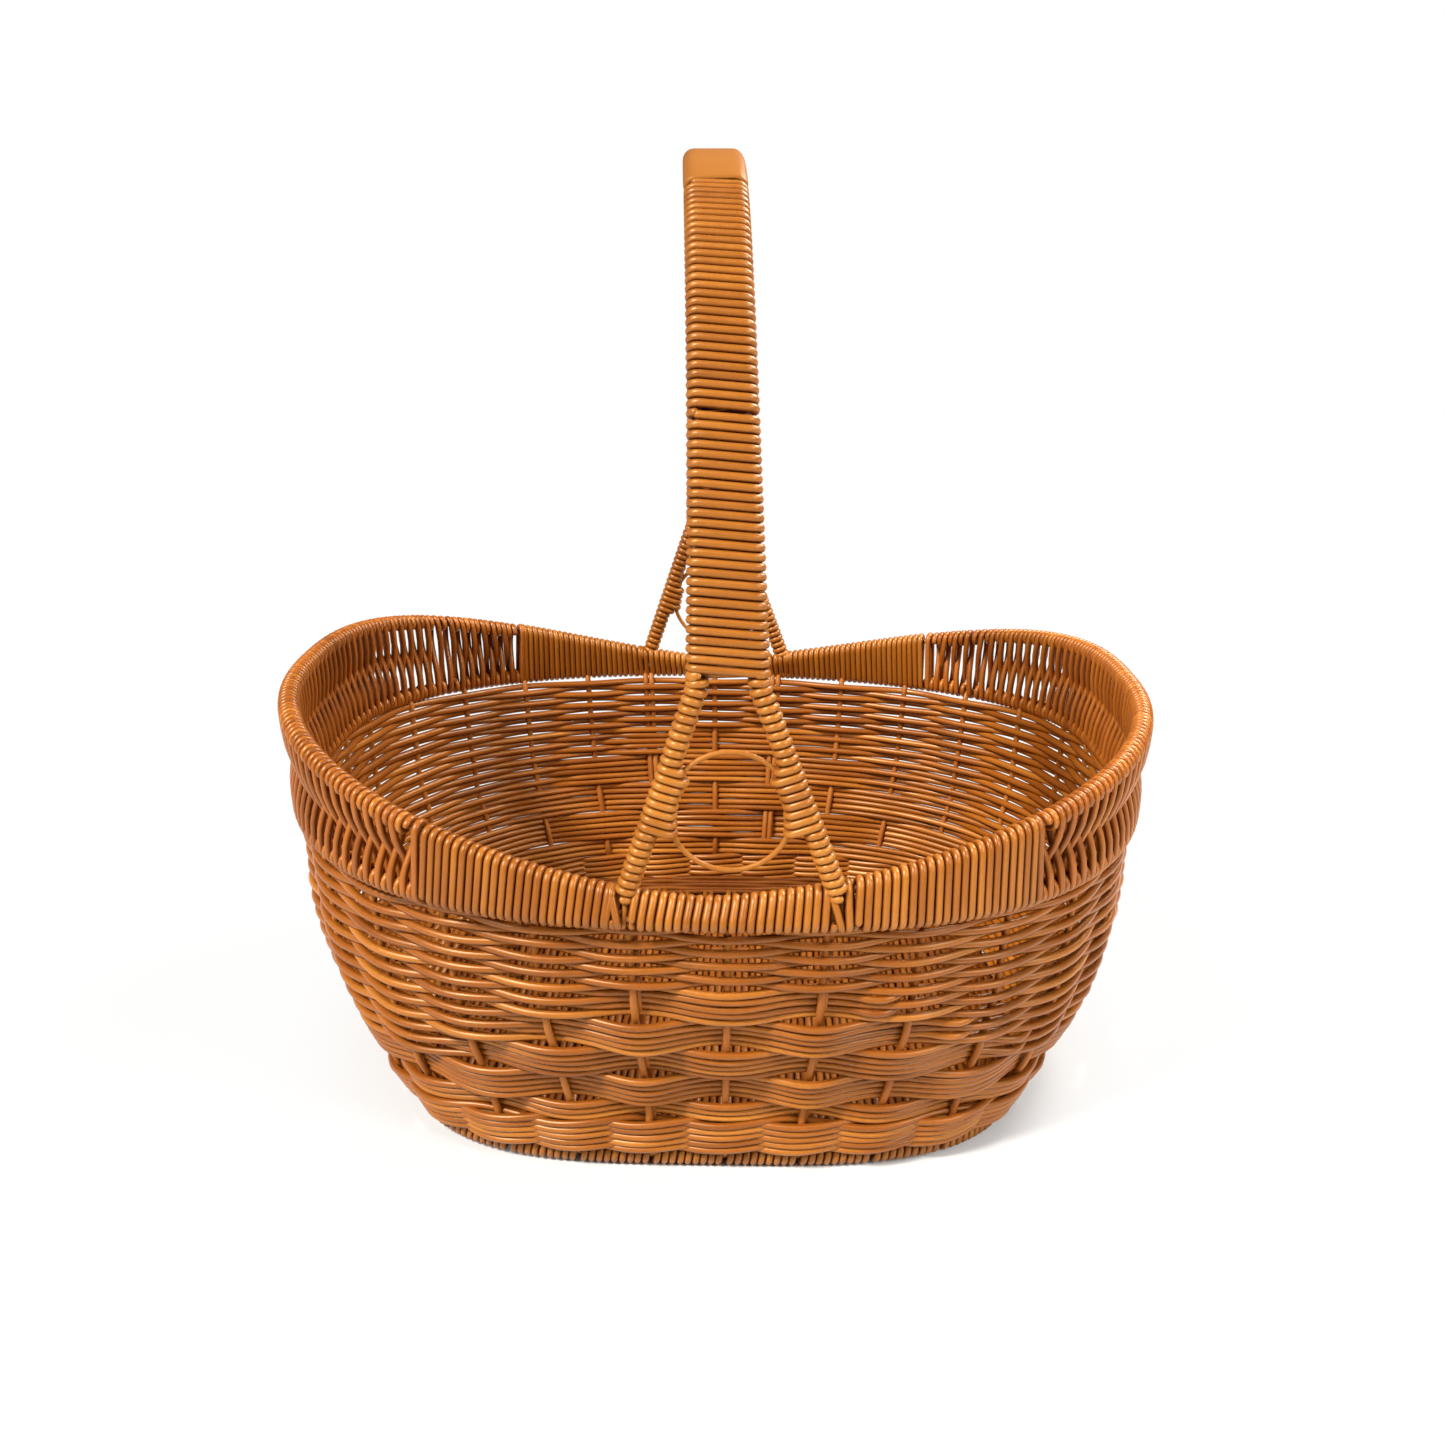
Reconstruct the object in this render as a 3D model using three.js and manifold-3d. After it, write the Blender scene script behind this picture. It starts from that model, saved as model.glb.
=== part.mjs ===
// Oval hand basket: a wire frame (foot ring, two rim hoops, two handle wires)
// wrapped and woven with round strands of about 3 mm.
// Millimetres, +Z up. Origin: centre of the footprint, on the surface the
// basket stands on. +X is towards the right-hand end of the oval, +Y is away
// from the side that faces the viewer (the front is -Y).
import * as THREE from 'three';
import { mergeVertices } from 'three/addons/utils/BufferGeometryUtils.js';
import Module from 'manifold-3d';

// ---------------------------------------------------------------- dimensions
const GAP = 0.35;             // clearance kept between neighbouring pieces

// foot ring: centreline of the oval wire
const FOOT_A = 134.7;         // half length, X
const FOOT_B = 122.8;         // half width, Y
const FOOT_N = 3.5;           // squareness of the oval (2 = ellipse)
const FOOT_WRAP_R = 4.5;
const FOOT_WIRE_R = 1.4;
// the underside of the wrap is a flat facet, which stands on the ground
const FOOT_Z = FOOT_WRAP_R * Math.cos(Math.PI / 8);

// lower rim hoop (top edge of the woven wall)
const LOW_A = 180.0, LOW_B = 155.0, LOW_N = 2.48;
const LOW_Z = 126.1;          // height at the middle of the long sides
const LOW_RISE = 6.7, LOW_RISE_P = 5.1;   // it lifts a little at both ends
const TILT = -0.012;          // hand-made: the left end sits slightly higher

// upper rim hoop: close to the lower one at front and back, high at the ends
const TOP_A = 182.4, TOP_B = 151.9, TOP_N = 2.49;
const TOP_Z = 130.2;
const TOP_RISE_L = 47.3, TOP_RISE_R = 40.2, TOP_RISE_P = 1.44;
const HOOP_R = 1.4;
const WRAP_R = 4.3;           // outside radius of the strand wraps on a hoop

// woven wall: mid-surface of the weave
const WALL_Z0 = 9.2;          // lower edge, just above the foot ring
const WALL_A0 = 136.8, WALL_B0 = 123.7;   // half length and half width there
const WALL_A1 = 179.0, WALL_B1 = 149.7;   // and at the top, under the lower hoop
// half width in the middle of the long sides, at equal steps of height: steep
// at the foot, leaning out by 22 degrees half-way up, steep again at the top
const SIDE_R = [123.7, 125.0, 128.2, 133.2, 138.5, 142.5, 145.4, 147.6, 149.7];
const END_STRAIGHT = 0.06, END_BULGE = 3.4;   // the two ends belly out instead
const END_PACK = 0.32;        // rows lie closer in height low down at the ends
const WALL_Y = -1.0;          // the wall sits a little nearer the viewer than the hoops
const WALL_HALF = 3.8;        // half the thickness of the weave
const BAND_1 = 0.140;         // top of the bottom band (share of the way up the wall)
const BAND_2 = 0.762;         // top of the block-weave band
// upright stakes: evenly spaced round the long sides, closer at the two ends
const STAKE_PHASE = 0.007;    // the middle stake of the front stands 7.7 mm right of centre
const BACK_PHASE = 0.5048;    // middle stake of the back
const STAKE_STEP = 1 / 30;
const SIDE_STAKES = 6, END_STAKES = 3;    // on each side of a middle stake; at each end
const PAIR_MM = 4.2;          // from a stake to the second one beside it, at the rim
const STAKE_R = 1.5;

// zones round the rim, as shares of the way round from the front centre
const FRONT_L = -0.0975, FRONT_R = 0.1125;
const BACK_R = 0.394, BACK_L = 0.605;

// handle
const ARCH_H = 254.2;         // rise of the arch above the upper hoop
const ARCH_M = 2.507;         // squareness of the arch
const WIRE_R = 1.4;
const STRAP_W0 = 23.4;        // width of the wrapped strap at the crown
const STRAP_GROW = 13.4;      // it widens downwards, with the square of the drop
const STRAP_T = 4.3;          // half thickness of the strap
const HAND_X = 1.95;          // the handle plane is turned very slightly
const HAND_TURN = -0.0457;
const HAND_LEAN = 3.8;        // and leans to the left by this much at the crown
const FORK_Z = 211.5;          // where the strap forks into two legs
const LEG_SPREAD = 39.6;      // half distance between the two feet
const LEG_R = 4.2;            // outside radius of a wrapped leg
const GRIP_HALF = 67;         // half length of the smooth grip, along the arch

// decorative ring between the legs
const RING_Z = 166.6, RING_R = 21.2, RING_WIRE_R = 1.0;

// floor
const FLOOR_Z0 = 4.6, FLOOR_Z1 = 8.2;

const wasm = await Module();
wasm.setup();

// ---------------------------------------------------------------- curves
const pw = (v, e) => Math.sign(v) * Math.pow(Math.abs(v), e);

// superellipse walked at an even pace from the front centre, anticlockwise
function ovalTable(a, b, n, N = 2400) {
  const P = [], D = [0];
  for (let i = 0; i <= N; i++) {
    const t = -Math.PI / 2 + (2 * Math.PI * i) / N;
    P.push([a * pw(Math.cos(t), 2 / n), b * pw(Math.sin(t), 2 / n)]);
    if (i) D.push(D[i - 1] + Math.hypot(P[i][0] - P[i - 1][0], P[i][1] - P[i - 1][1]));
  }
  const L = D[N];
  return { P, D: D.map((d) => d / L), L };
}
function at(tb, f) {
  f -= Math.floor(f);
  let lo = 0, hi = tb.D.length - 1;
  while (hi - lo > 1) { const m = (lo + hi) >> 1; if (tb.D[m] <= f) lo = m; else hi = m; }
  const k = (f - tb.D[lo]) / (tb.D[hi] - tb.D[lo] || 1);
  return [tb.P[lo][0] + k * (tb.P[hi][0] - tb.P[lo][0]), tb.P[lo][1] + k * (tb.P[hi][1] - tb.P[lo][1])];
}
const FOOT = ovalTable(FOOT_A, FOOT_B, FOOT_N);
const LOW = ovalTable(LOW_A, LOW_B, LOW_N);
const TOP = ovalTable(TOP_A, TOP_B, TOP_N);
const WBASE = ovalTable(WALL_A0, WALL_B0, FOOT_N);
const WTOP = ovalTable(WALL_A1, WALL_B1, LOW_N);

const lowZ = (x) => LOW_Z + TILT * x + LOW_RISE * Math.pow(Math.abs(x) / LOW_A, LOW_RISE_P);
const topZ = (x) => {
  const e = 4, g = x < 0 ? TOP_RISE_L : TOP_RISE_R;
  return TOP_Z + g * (Math.pow((x * x + e * e) / (TOP_A * TOP_A), TOP_RISE_P / 2) - Math.pow(e / TOP_A, TOP_RISE_P));
};
const footAt = (f) => { const [x, y] = at(FOOT, f); return new THREE.Vector3(x, y, FOOT_Z); };
const lowAt = (f) => { const [x, y] = at(LOW, f); return new THREE.Vector3(x, y, lowZ(x)); };
const topAt = (f) => { const [x, y] = at(TOP, f); return new THREE.Vector3(x, y, topZ(x)); };

// share of the way from the base oval to the top oval, on the long sides
function sideShare(s) {
  const n = SIDE_R.length - 1, k = Math.min(n - 1, Math.max(0, Math.floor(s * n))), t = s * n - k;
  const R = (i) => SIDE_R[Math.min(n, Math.max(0, i))];
  const a = R(k), b = R(k + 1), ma = (b - R(k - 1)) / 2, mb = (R(k + 2) - a) / 2;
  const r = a + t * (ma + t * (3 * (b - a) - 2 * ma - mb + t * (2 * (a - b) + ma + mb)));
  return (r - WALL_B0) / (WALL_B1 - WALL_B0);
}
// mid-surface of the woven wall, at a share q of the way up along the wall
function wallAt(f, q) {
  const [bx, by] = at(WBASE, f), [hx, hy] = at(WTOP, f), lx = at(LOW, f)[0];
  const e = (lx / LOW_A) * (lx / LOW_A), s = q - END_PACK * e * q * (1 - q) * (1 - q);
  const end = END_STRAIGHT * s + (1 - END_STRAIGHT) * (1 - Math.pow(Math.max(0, 1 - s), END_BULGE));
  const w = (1 - e) * sideShare(s) + e * end;
  const z1 = lowZ(lx) - WRAP_R - GAP - 0.1;
  return new THREE.Vector3(bx + (hx - bx) * w, WALL_Y + by + (hy - by) * w, WALL_Z0 + (z1 - WALL_Z0) * s);
}
function wallNormal(f, s) {
  const e = 0.004, d = 0.01;
  const du = wallAt(f + e, s).sub(wallAt(f - e, s));
  const dv = wallAt(f, Math.min(1, s + d)).sub(wallAt(f, Math.max(0, s - d)));
  return du.cross(dv).normalize();
}
// horizontal outward direction of a ring
function outward(fn, f) {
  const t = fn(f + 0.003).sub(fn(f - 0.003)); t.z = 0; t.normalize();
  return new THREE.Vector3(t.y, -t.x, 0);
}

// arch of the handle: share u 0 (front foot) .. 1 (back foot)
function archAt(u) {
  const t = u * Math.PI, c = Math.cos(t), s = Math.abs(Math.sin(t));
  const y = -TOP_B * pw(c, 2 / ARCH_M), h = Math.pow(s, 2 / ARCH_M);
  return new THREE.Vector3(HAND_X + HAND_TURN * y - HAND_LEAN * h, y, TOP_Z + ARCH_H * h);
}
const ARCH = (() => {
  const N = 3000, P = [], D = [0];
  for (let i = 0; i <= N; i++) { P.push(archAt(i / N)); if (i) D.push(D[i - 1] + P[i].distanceTo(P[i - 1])); }
  return { P, D, L: D[N] };
})();
function archLen(d) {                     // point at a distance along the arch
  d = Math.min(ARCH.L, Math.max(0, d));
  let lo = 0, hi = ARCH.D.length - 1;
  while (hi - lo > 1) { const m = (lo + hi) >> 1; if (ARCH.D[m] <= d) lo = m; else hi = m; }
  const k = (d - ARCH.D[lo]) / (ARCH.D[hi] - ARCH.D[lo]);
  return ARCH.P[lo].clone().lerp(ARCH.P[hi], k);
}
function archFrame(d) {
  const o = archLen(d), t = archLen(Math.min(ARCH.L, d + 0.6)).sub(archLen(Math.max(0, d - 0.6))).normalize();
  const x = new THREE.Vector3(1, 0, 0);
  x.addScaledVector(t, -x.dot(t)).normalize();
  return { o, t, x, n: new THREE.Vector3().crossVectors(x, t).normalize() };
}
const smooth = (a, b, v) => { const k = Math.min(1, Math.max(0, (v - a) / (b - a))); return k * k * (3 - 2 * k); };
const strapWidth = (z) => STRAP_W0 + STRAP_GROW * Math.pow(1 - (z - TOP_Z) / ARCH_H, 2);
function wireOffset(d) {                  // half spacing of the two handle wires
  const z = archLen(d).z, inStrap = strapWidth(z) / 2 - STRAP_T;
  if (z > FORK_Z + 6) return inStrap;
  const start = strapWidth(FORK_Z) / 2 - STRAP_T;
  const line = start + ((LEG_SPREAD - start) * (FORK_Z - z)) / (FORK_Z - TOP_Z);
  const w = smooth(FORK_Z - 6, FORK_Z + 6, z);
  return w * inStrap + (1 - w) * Math.max(line, inStrap);
}
const wireAt = (side, d) => { const F = archFrame(d); return F.o.clone().addScaledVector(F.x, side * wireOffset(d)); };
function lenAtZ(z, back) {                // distance along the arch where it passes height z
  let lo = 0, hi = ARCH.L / 2;
  for (let i = 0; i < 40; i++) { const m = (lo + hi) / 2; if (archLen(m).z < z) lo = m; else hi = m; }
  return back ? ARCH.L - lo : lo;
}

// the wire ends just above the upper hoop
const footClear = HOOP_R + GAP + 0.15 + WIRE_R * 0.45;

// ---------------------------------------------------------------- solids
// A station is { outer: [Vector3], holes: [[Vector3]], u, v, o }; stations with
// the same number of points are joined into one closed body.
function loft(stations, closed) {
  const pos = [], idx = [], S = stations.length;
  const counts = [stations[0].outer.length, ...(stations[0].holes || []).map((h) => h.length)];
  const per = counts.reduce((a, b) => a + b, 0);
  for (const st of stations) for (const loop of [st.outer, ...(st.holes || [])]) for (const p of loop) pos.push(p.x, p.y, p.z);
  const spans = closed ? S : S - 1;
  for (let i = 0; i < spans; i++) {
    const a = i * per, b = ((i + 1) % S) * per;
    let off = 0;
    counts.forEach((c, loop) => {
      for (let j = 0; j < c; j++) {
        const k = (j + 1) % c;
        const q = [a + off + j, b + off + j, b + off + k, a + off + k];
        if (loop === 0) idx.push(q[0], q[1], q[2], q[0], q[2], q[3]);
        else idx.push(q[0], q[2], q[1], q[0], q[3], q[2]);
      }
      off += c;
    });
  }
  if (!closed) {
    for (const end of [0, S - 1]) {
      const st = stations[end];
      const flat = (p) => { const d = p.clone().sub(st.o); return new THREE.Vector2(d.dot(st.u), d.dot(st.v)); };
      const outer = st.outer.map(flat), holes = (st.holes || []).map((h) => h.map(flat));
      const ccw = !THREE.ShapeUtils.isClockWise(outer);
      // every loop keeps its own point order here, so the indices stay valid
      const tris = THREE.ShapeUtils.triangulateShape(outer, holes);
      for (const [x, y, z] of tris) {
        const A = outer.concat(...holes);
        const area = (A[y].x - A[x].x) * (A[z].y - A[x].y) - (A[z].x - A[x].x) * (A[y].y - A[x].y);
        const same = (area > 0) === ccw;
        const t = same ? [x, y, z] : [x, z, y];
        if (end === 0) idx.push(end * per + t[0], end * per + t[1], end * per + t[2]);
        else idx.push(end * per + t[0], end * per + t[2], end * per + t[1]);
      }
    }
  }
  const g = new THREE.BufferGeometry();
  g.setAttribute('position', new THREE.Float32BufferAttribute(pos, 3));
  g.setIndex(idx);
  return outwardFaces(g);
}
function volume(g) {
  const p = g.attributes.position, ix = g.index.array;
  const a = new THREE.Vector3(), b = new THREE.Vector3(), c = new THREE.Vector3();
  let v = 0;
  for (let i = 0; i < ix.length; i += 3) {
    a.fromBufferAttribute(p, ix[i]); b.fromBufferAttribute(p, ix[i + 1]); c.fromBufferAttribute(p, ix[i + 2]);
    v += a.dot(b.cross(c)) / 6;
  }
  return v;
}
function outwardFaces(g) {
  if (volume(g) < 0) {
    const ix = g.index.array;
    for (let i = 0; i < ix.length; i += 3) { const t = ix[i]; ix[i] = ix[i + 1]; ix[i + 1] = t; }
  }
  return g;
}
function welded(g) {
  const c = g.clone();
  c.deleteAttribute('normal'); c.deleteAttribute('uv');
  return outwardFaces(mergeVertices(c, 1e-4));
}
function solid(g) {
  const w = welded(g);
  return new wasm.Manifold(new wasm.Mesh({
    numProp: 3,
    vertProperties: new Float32Array(w.attributes.position.array),
    triVerts: new Uint32Array(w.index.array),
  }));
}
function geometry(m) {
  const s = m.getMesh(), g = new THREE.BufferGeometry(), n = s.numProp;
  const p = new Float32Array((s.vertProperties.length / n) * 3);
  for (let i = 0; i < p.length / 3; i++) for (let k = 0; k < 3; k++) p[3 * i + k] = s.vertProperties[n * i + k];
  g.setAttribute('position', new THREE.BufferAttribute(p, 3));
  g.setIndex(Array.from(s.triVerts));
  return g;
}
// round section of `sides` points; `turn` in steps of half a side
function circle(o, u, v, r, sides, turn = 0) {
  const out = [];
  for (let i = 0; i < sides; i++) {
    const a = (2 * Math.PI * (i + turn * 0.5)) / sides;
    out.push(o.clone().addScaledVector(u, r * Math.cos(a)).addScaledVector(v, r * Math.sin(a)));
  }
  return out;
}
const UP = new THREE.Vector3(0, 0, 1);
// full ring of round wire round the oval
function ringWire(fn, r, sides, segs) {
  const st = [];
  for (let i = 0; i < segs; i++) { const f = i / segs; st.push({ outer: circle(fn(f), outward(fn, f), UP, r, sides) }); }
  return loft(st, true);
}
// stations of an arc of the rim or foot ring, from f0 to f1, meeting the same
// sample points as the full rings
function arcShares(f0, f1, segs) {
  const out = [f0];
  for (let i = Math.ceil((f0 + 1e-4) * segs); i / segs < f1 - 1e-4; i++) out.push(i / segs);
  out.push(f1);
  return out;
}
// rod along a curve, closed at both ends
function rod(points, r, steps, sides = 6) {
  const curve = new THREE.CatmullRomCurve3(points, false, 'centripetal');
  const sh = new THREE.Shape(circle(new THREE.Vector3(), new THREE.Vector3(1, 0, 0), new THREE.Vector3(0, 1, 0), r, sides)
    .map((p) => new THREE.Vector2(p.x, p.y)));
  return new THREE.ExtrudeGeometry(sh, { steps, bevelEnabled: false, extrudePath: curve });
}
// convex outline round a few circles lying in the plane (o, u, v)
function hullOutline(o, u, v, discs, sides) {
  const pts = [];
  for (const [cx, cy, r] of discs) for (let i = 0; i < 48; i++) {
    const a = (2 * Math.PI * i) / 48; pts.push([cx + r * Math.cos(a), cy + r * Math.sin(a)]);
  }
  // support points in `sides` directions keep the count constant along a sweep
  const out = [];
  for (let i = 0; i < sides; i++) {
    const a = (2 * Math.PI * (i + 0.5)) / sides, c = Math.cos(a), s = Math.sin(a);
    let best = -1e9;
    for (const p of pts) best = Math.max(best, p[0] * c + p[1] * s);
    out.push([c, s, best]);
  }
  const loop = [];
  for (let i = 0; i < sides; i++) {
    const A = out[i], B = out[(i + 1) % sides], det = A[0] * B[1] - A[1] * B[0];
    const x = (A[2] * B[1] - A[1] * B[2]) / det, y = (A[0] * B[2] - A[2] * B[0]) / det;
    loop.push(o.clone().addScaledVector(u, x).addScaledVector(v, y));
  }
  return loop;
}

// ---------------------------------------------------------------- materials
const strand = (hex, rough = 0.42) => new THREE.MeshStandardMaterial({ color: hex, roughness: rough, metalness: 0 });
const wireMat = () => new THREE.MeshStandardMaterial({ color: 0x8f6a45, roughness: 0.45, metalness: 0.6 });

const basket = new THREE.Group();
basket.name = 'woven_hand_basket';
function add(name, geom, material) {
  const m = new THREE.Mesh(geom, material);
  m.name = name;
  basket.add(m);
  return m;
}

// ---------------------------------------------------------------- foot ring
const SEG = 48;                 // stations round each ring
add('foot_ring_wire', ringWire(footAt, FOOT_WIRE_R, 6, SEG), wireMat());
{
  // the wrap starts and ends at the back centre, so it is an open sleeve
  const st = arcShares(-0.497, 0.497, SEG).map((f) => {
    const o = footAt(f), u = outward(footAt, f);
    return { o, u, v: UP, outer: circle(o, u, UP, FOOT_WRAP_R, 8, 1), holes: [hullOutline(o, u, UP, [[0, 0, FOOT_WIRE_R + GAP]], 6)] };
  });
  add('foot_ring_wrap', loft(st, false), strand(0xc27a3a));
}

// ---------------------------------------------------------------- floor
{
  const inset = FOOT_WRAP_R + 0.8;
  const fl = ovalTable(FOOT_A - inset, FOOT_B - inset, FOOT_N);
  const sh = new THREE.Shape();
  for (let i = 0; i < 56; i++) { const [x, y] = at(fl, i / 56); if (i) sh.lineTo(x, y); else sh.moveTo(x, y); }
  sh.closePath();
  const g = new THREE.ExtrudeGeometry(sh, { depth: FLOOR_Z1 - FLOOR_Z0, bevelEnabled: false });
  g.translate(0, 0, FLOOR_Z0);
  add('floor_panel', g, strand(0xbd7436));
}

// ---------------------------------------------------------------- stakes
const STAKE_F = [];
for (const [centre, next] of [[STAKE_PHASE, BACK_PHASE], [BACK_PHASE, STAKE_PHASE + 1]]) {
  const step = (next - centre - 2 * SIDE_STAKES * STAKE_STEP) / (END_STAKES + 1);
  for (let i = -SIDE_STAKES; i <= SIDE_STAKES; i++) STAKE_F.push(centre + i * STAKE_STEP);
  for (let i = 1; i <= END_STAKES; i++) STAKE_F.push(centre + SIDE_STAKES * STAKE_STEP + i * step);
}
const stakeShare = STAKE_F.map((f, i) => ['stake_' + String(i + 1).padStart(2, '0'), f]);
// a second stake stands beside the one under each handle foot
const PAIR = PAIR_MM / LOW.L;
stakeShare.push(['paired_stake_front_left', STAKE_PHASE - STAKE_STEP + PAIR]);
stakeShare.push(['paired_stake_front_right', STAKE_PHASE + STAKE_STEP + PAIR]);
stakeShare.push(['paired_stake_back_right', BACK_PHASE - STAKE_STEP + PAIR]);
stakeShare.push(['paired_stake_back_left', BACK_PHASE + STAKE_STEP + PAIR]);
// stakes and their channels share the same stations up the wall
const STAKE_S = [0, 0.22, 0.45, 0.72, 1];
function stakeSolid(f, r, sides, ext) {
  const P = STAKE_S.map((v) => wallAt(f, v));
  const n = P.length, u = outward(lowAt, f), t = new THREE.Vector3(-u.y, u.x, 0);
  const down = P[0].clone().sub(P[1]).normalize(), up = P[n - 1].clone().sub(P[n - 2]).normalize();
  P[0].addScaledVector(down, ext);
  P[n - 1].addScaledVector(up, ext);
  return loft(P.map((o) => ({ o, u, v: t, outer: hullOutline(o, u, t, [[0, 0, r]], sides) })), false);
}
for (const [nm, f] of stakeShare) add(nm, stakeSolid(f, STAKE_R, 6, -0.3), strand(0xb06a2e, 0.5));
const cutters = stakeShare.map(([, f]) => solid(stakeSolid(f, STAKE_R * 1.12 + GAP, 4, 4)));

// ---------------------------------------------------------------- woven wall
const WALL_F = [];              // stations round the wall, two per stake
STAKE_F.forEach((f, i) => WALL_F.push(f, (f + (STAKE_F[i + 1] ?? STAKE_F[0] + 1)) / 2));
function wallBand(s0, s1, rows) {
  const st = [];
  for (const f of WALL_F) {
    const out = [], inn = [];
    for (let j = 0; j <= rows; j++) {
      const s = s0 + ((s1 - s0) * j) / rows, c = wallAt(f, s), n = wallNormal(f, s);
      // keep both edges level so that the bands stay clear of each other
      if (j === 0 || j === rows) { n.z = 0; n.normalize(); }
      out.push(c.clone().addScaledVector(n, WALL_HALF));
      inn.unshift(c.clone().addScaledVector(n, -WALL_HALF));
    }
    st.push({ outer: out.concat(inn) });
  }
  let m = solid(loft(st, true));
  for (const c of cutters) m = m.subtract(c);
  return geometry(m);
}
const dS = 0.0035;
add('wall_bottom_band', wallBand(0, BAND_1 - dS, 1), strand(0xc47c3c));
add('wall_block_weave', wallBand(BAND_1, BAND_2 - dS, 3), strand(0xcb8240));
add('wall_upper_weave', wallBand(BAND_2, 1, 1), strand(0xc67e3d));

// ---------------------------------------------------------------- rim
add('lower_rim_hoop', ringWire(lowAt, HOOP_R, 6, SEG), wireMat());
add('upper_rim_hoop', ringWire(topAt, HOOP_R, 6, SEG), wireMat());

function rimWrap(f0, f1, back) {
  const st = arcShares(f0, f1, SEG).map((f) => {
    const a = lowAt(f), b = topAt(f), u = outward(lowAt, f);
    const d = b.clone().sub(a), dx = d.dot(u), dz = d.z;
    return {
      o: a, u, v: UP,
      outer: hullOutline(a, u, UP, [[0, 0, WRAP_R], [dx, dz, WRAP_R]], 10),
      holes: [hullOutline(a, u, UP, [[0, 0, HOOP_R + GAP], [dx, dz, HOOP_R + GAP]], 8)],
    };
  });
  // each handle wire passes through the wrap down to the upper hoop
  let m = solid(loft(st, false));
  for (const side of [-1, 1]) {
    const d = footStart(side, back), P = [d - 0.6, d + 9].map((k) => wireFrame(side, back ? ARCH.L - k : k));
    m = m.subtract(solid(loft(P.map((F) => ({ ...F, outer: hullOutline(F.o, F.u, F.v, [[0, 0, WIRE_R + GAP]], 6) })), false)));
  }
  return geometry(m);
}
const EDGE = 0.0006;
add('rim_wrap_front', rimWrap(FRONT_L + EDGE, FRONT_R - EDGE, false), strand(0xc8803e, 0.36));
add('rim_wrap_back', rimWrap(BACK_R + EDGE, BACK_L - EDGE, true), strand(0xc8803e, 0.36));

// open lattice at each end: a sleeve on each hoop and a thin net between them
function lattice(f0, f1, slots) {
  const F = arcShares(f0, f1, SEG);
  const deg = Math.PI / 180, SHEET = 1.6, phi = Math.acos(SHEET / WRAP_R) / deg;
  let m = solid(loft(F.map((f) => {
    const a = lowAt(f), b = topAt(f), u = outward(lowAt, f);
    const d = b.clone().sub(a), w = u.clone().multiplyScalar(d.dot(u)).addScaledVector(UP, d.z).normalize();
    const p = u.clone().multiplyScalar(w.dot(UP)).addScaledVector(UP, -w.dot(u)).normalize();
    const on = (c, g) => c.clone().addScaledVector(p, WRAP_R * Math.cos(g * deg)).addScaledVector(w, WRAP_R * Math.sin(g * deg));
    const low = [phi, 15, -40, -90, -140, -195, -180 - phi].map((g) => on(a, g));
    const high = [180 + phi, 165, 130, 90, 50, 15, -phi].map((g) => on(b, g));
    return {
      o: a, u, v: UP, outer: low.concat(high).reverse(),
      holes: [hullOutline(a, u, UP, [[0, 0, HOOP_R + GAP]], 6), hullOutline(b, u, UP, [[0, 0, HOOP_R + GAP]], 6)],
    };
  }), false));
  const cut = [];
  for (let i = 0; i < slots; i++) {
    const f = f0 + ((f1 - f0) * (i + 0.5)) / slots;
    const a = lowAt(f), b = topAt(f), u = outward(lowAt, f), h = b.z - a.z;
    const t = new THREE.Vector3(-u.y, u.x, 0);
    const clear = WRAP_R + 1.2, len = (h - 2 * clear - 4) / 2;
    if (len < 3.5) continue;
    for (const [k, lean] of [[0, 1], [1, -1]]) {
      const mid = a.clone().lerp(b, (clear + len / 2 + k * (len + 4)) / h);
      const g = new THREE.BoxGeometry(3.0, 14, len);
      const M = new THREE.Matrix4().makeBasis(t, u.clone().negate(), UP);
      const R = new THREE.Matrix4().makeRotationY(lean * 0.35);
      g.applyMatrix4(R).applyMatrix4(M).translate(mid.x, mid.y, mid.z);
      cut.push(g);
    }
  }
  for (const g of cut) m = m.subtract(solid(g));
  return geometry(m);
}
add('end_lattice_right', lattice(FRONT_R + EDGE, BACK_R - EDGE, 8), strand(0xbf7738));
add('end_lattice_left', lattice(BACK_L + EDGE, 1 + FRONT_L - EDGE, 8), strand(0xbf7738));

// ---------------------------------------------------------------- handle
function footStart(side, back) {          // the wire ends just above the upper hoop
  let d = 0;
  for (; d < 30; d += 0.2) {
    const dd = back ? ARCH.L - d : d, p = wireAt(side, dd);
    if (p.z > topZ(p.x) + footClear) break;
  }
  return d;
}
// stations along the arch, shared by the wires and everything wrapped on them
const share = (a, b, n) => Array.from({ length: n + 1 }, (_, i) => a + ((b - a) * i) / n);
const dF = lenAtZ(FORK_Z + 3, false), dB = lenAtZ(FORK_Z + 3, true), dMid = ARCH.L / 2;
const STRAP_F = share(dF, dMid - GRIP_HALF - 0.2, 7);
const GRIP_D = share(dMid - GRIP_HALF + 0.2, dMid + GRIP_HALF - 0.2, 10);
const STRAP_B = share(dMid + GRIP_HALF + 0.2, dB, 7);
const LEG_TOP = FORK_Z + 1.5, LEG_FOOT = 4.6;
const legStations = (side, back) => {
  const top = lenAtZ(LEG_TOP, back), b = footStart(side, back) + LEG_FOOT;
  return share(back ? ARCH.L - b : b, top, 5);
};
function wireFrame(side, d) {
  const o = wireAt(side, d), e = 0.6;
  const t = wireAt(side, Math.min(ARCH.L, d + e)).sub(wireAt(side, Math.max(0, d - e))).normalize();
  const u = new THREE.Vector3(1, 0, 0).addScaledVector(t, -t.x).normalize();
  return { o, u, v: new THREE.Vector3().crossVectors(u, t).normalize() };
}
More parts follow.
